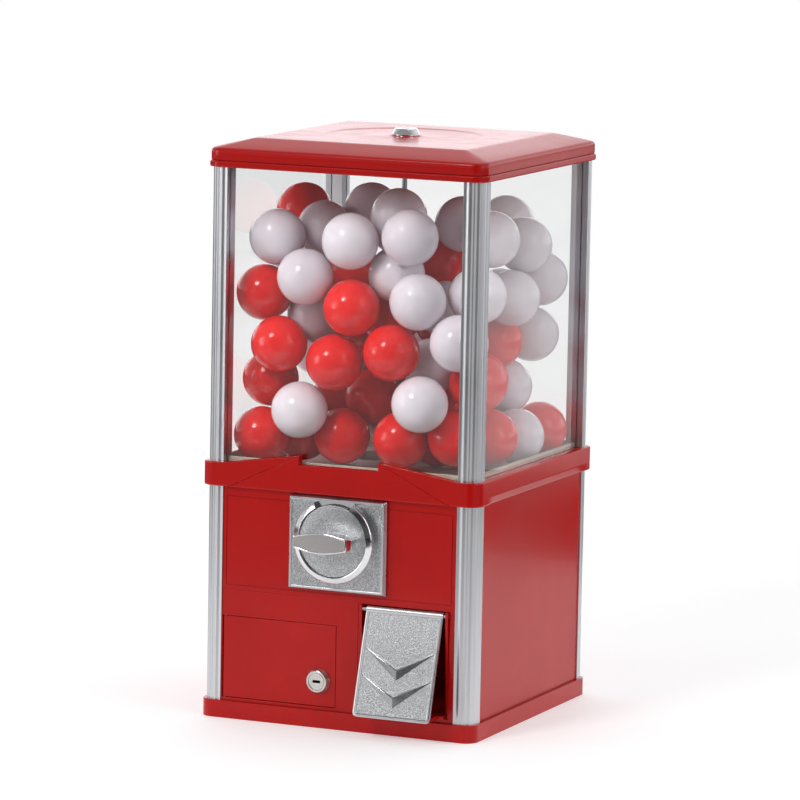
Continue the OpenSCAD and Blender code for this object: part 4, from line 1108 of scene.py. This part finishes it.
world = bpy.data.worlds.new("studio")
bpy.context.scene.world = world
world.use_nodes = True
tree = world.node_tree
sky = tree.nodes["Background"]
direction = add_node(tree, "TexCoord").outputs["Generated"]
parts_of_way = add_node(tree, "SeparateXYZ", {0: direction}).outputs
rise = parts_of_way["Z"]
ramp = add_node(tree, "ValToRGB", {0: ranged(tree, rise, 0.0, 1.0, -1.0, 1.0)})
for place, grey in SKY_STOPS:
    stop = ramp.color_ramp.elements.new(place)
    stop.color = (grey, grey, grey * 1.03, 1)
ramp.color_ramp.elements[0].color = SKY_DOWN
ramp.color_ramp.elements[-1].color = SKY_UP
front_up = ranged(tree, parts_of_way["Y"], FRONT_SHARE, 1.0, FRONT_Y, BACK_Y)
back_down = ranged(tree, parts_of_way["Y"], 1.0, DARK_SHARE, FRONT_Y, BACK_Y)
above = ranged(tree, rise, 0.0, 1.0, -0.01, 0.0)
room = add_node(tree, "Mix", {0: above, 2: back_down, 3: front_up}, data_type="FLOAT").outputs[0]
facing_dark = add_node(tree, "VectorMath", {0: direction, 1: heading(*DARK_END).tolist()},
                       operation="DOT_PRODUCT").outputs["Value"]
darkened = ranged(tree, facing_dark, 1.0, DARK_SHARE, math.cos(DARK_OUTER), math.cos(DARK_INNER))
tree.links.new(ramp.outputs["Color"], sky.inputs["Color"])
tree.links.new(arithmetic(tree, "MULTIPLY", room, darkened), sky.inputs["Strength"])
white = add_node(tree, "Background", {"Color": (1, 1, 1, 1), "Strength": 1.0})
rays = add_node(tree, "LightPath").outputs
bounces = arithmetic(tree, "ADD", rays["Diffuse Depth"], rays["Glossy Depth"])
unbounced = arithmetic(tree, "LESS_THAN", bounces, 0.5)
through = arithmetic(tree, "MULTIPLY", rays["Is Transmission Ray"], unbounced)
looking = arithmetic(tree, "MAXIMUM", rays["Is Camera Ray"], through)
seen = add_node(tree, "MixShader", {0: looking, 1: sky.outputs[0], 2: white.outputs[0]})
tree.links.new(seen.outputs[0], tree.nodes["World Output"].inputs["Surface"])


# %% Soft boxes


def soft_box(name, at, towards, size, watts):
    """A rectangular lamp at one point, facing another, in metres."""
    lamp = bpy.data.lights.new(name, "AREA")
    lamp.shape, lamp.size, lamp.size_y, lamp.energy = "RECTANGLE", *size, watts
    holder = bpy.data.objects.new(name, lamp)
    aim = np.asarray(towards, float) - np.asarray(at, float)
    z_axis = -aim / np.linalg.norm(aim)
    x_axis = np.cross([0, 0, 1.0], z_axis)
    x_axis /= np.linalg.norm(x_axis)
    holder.matrix_world = placed(at, x_axis, np.cross(z_axis, x_axis), z_axis)
    holder.visible_camera = False
    bpy.context.scene.collection.objects.link(holder)


for lamp_row in (("key", (-0.6, -2.0, 1.9), (0, 0, 0.2), (0.6, 0.6), 20),
                 ("left", (-2.0, -1.6, 0.7), (0, 0, 0.2), (0.9, 1.2), 12),
                 ("side", (1.9, -0.6, 1.2), (0, 0, 0.25), (0.8, 1.4), 7),
                 ("top", (0.1, 0.5, 2.2), (0, 0, 0.3), (1.6, 1.6), 5)):
    soft_box(*lamp_row)

# %% [markdown]
# Screen colours follow the light one to one here, as on a product sheet: white paper stays white.

# %% Screen colours
bpy.context.scene.view_settings.view_transform = "Standard"
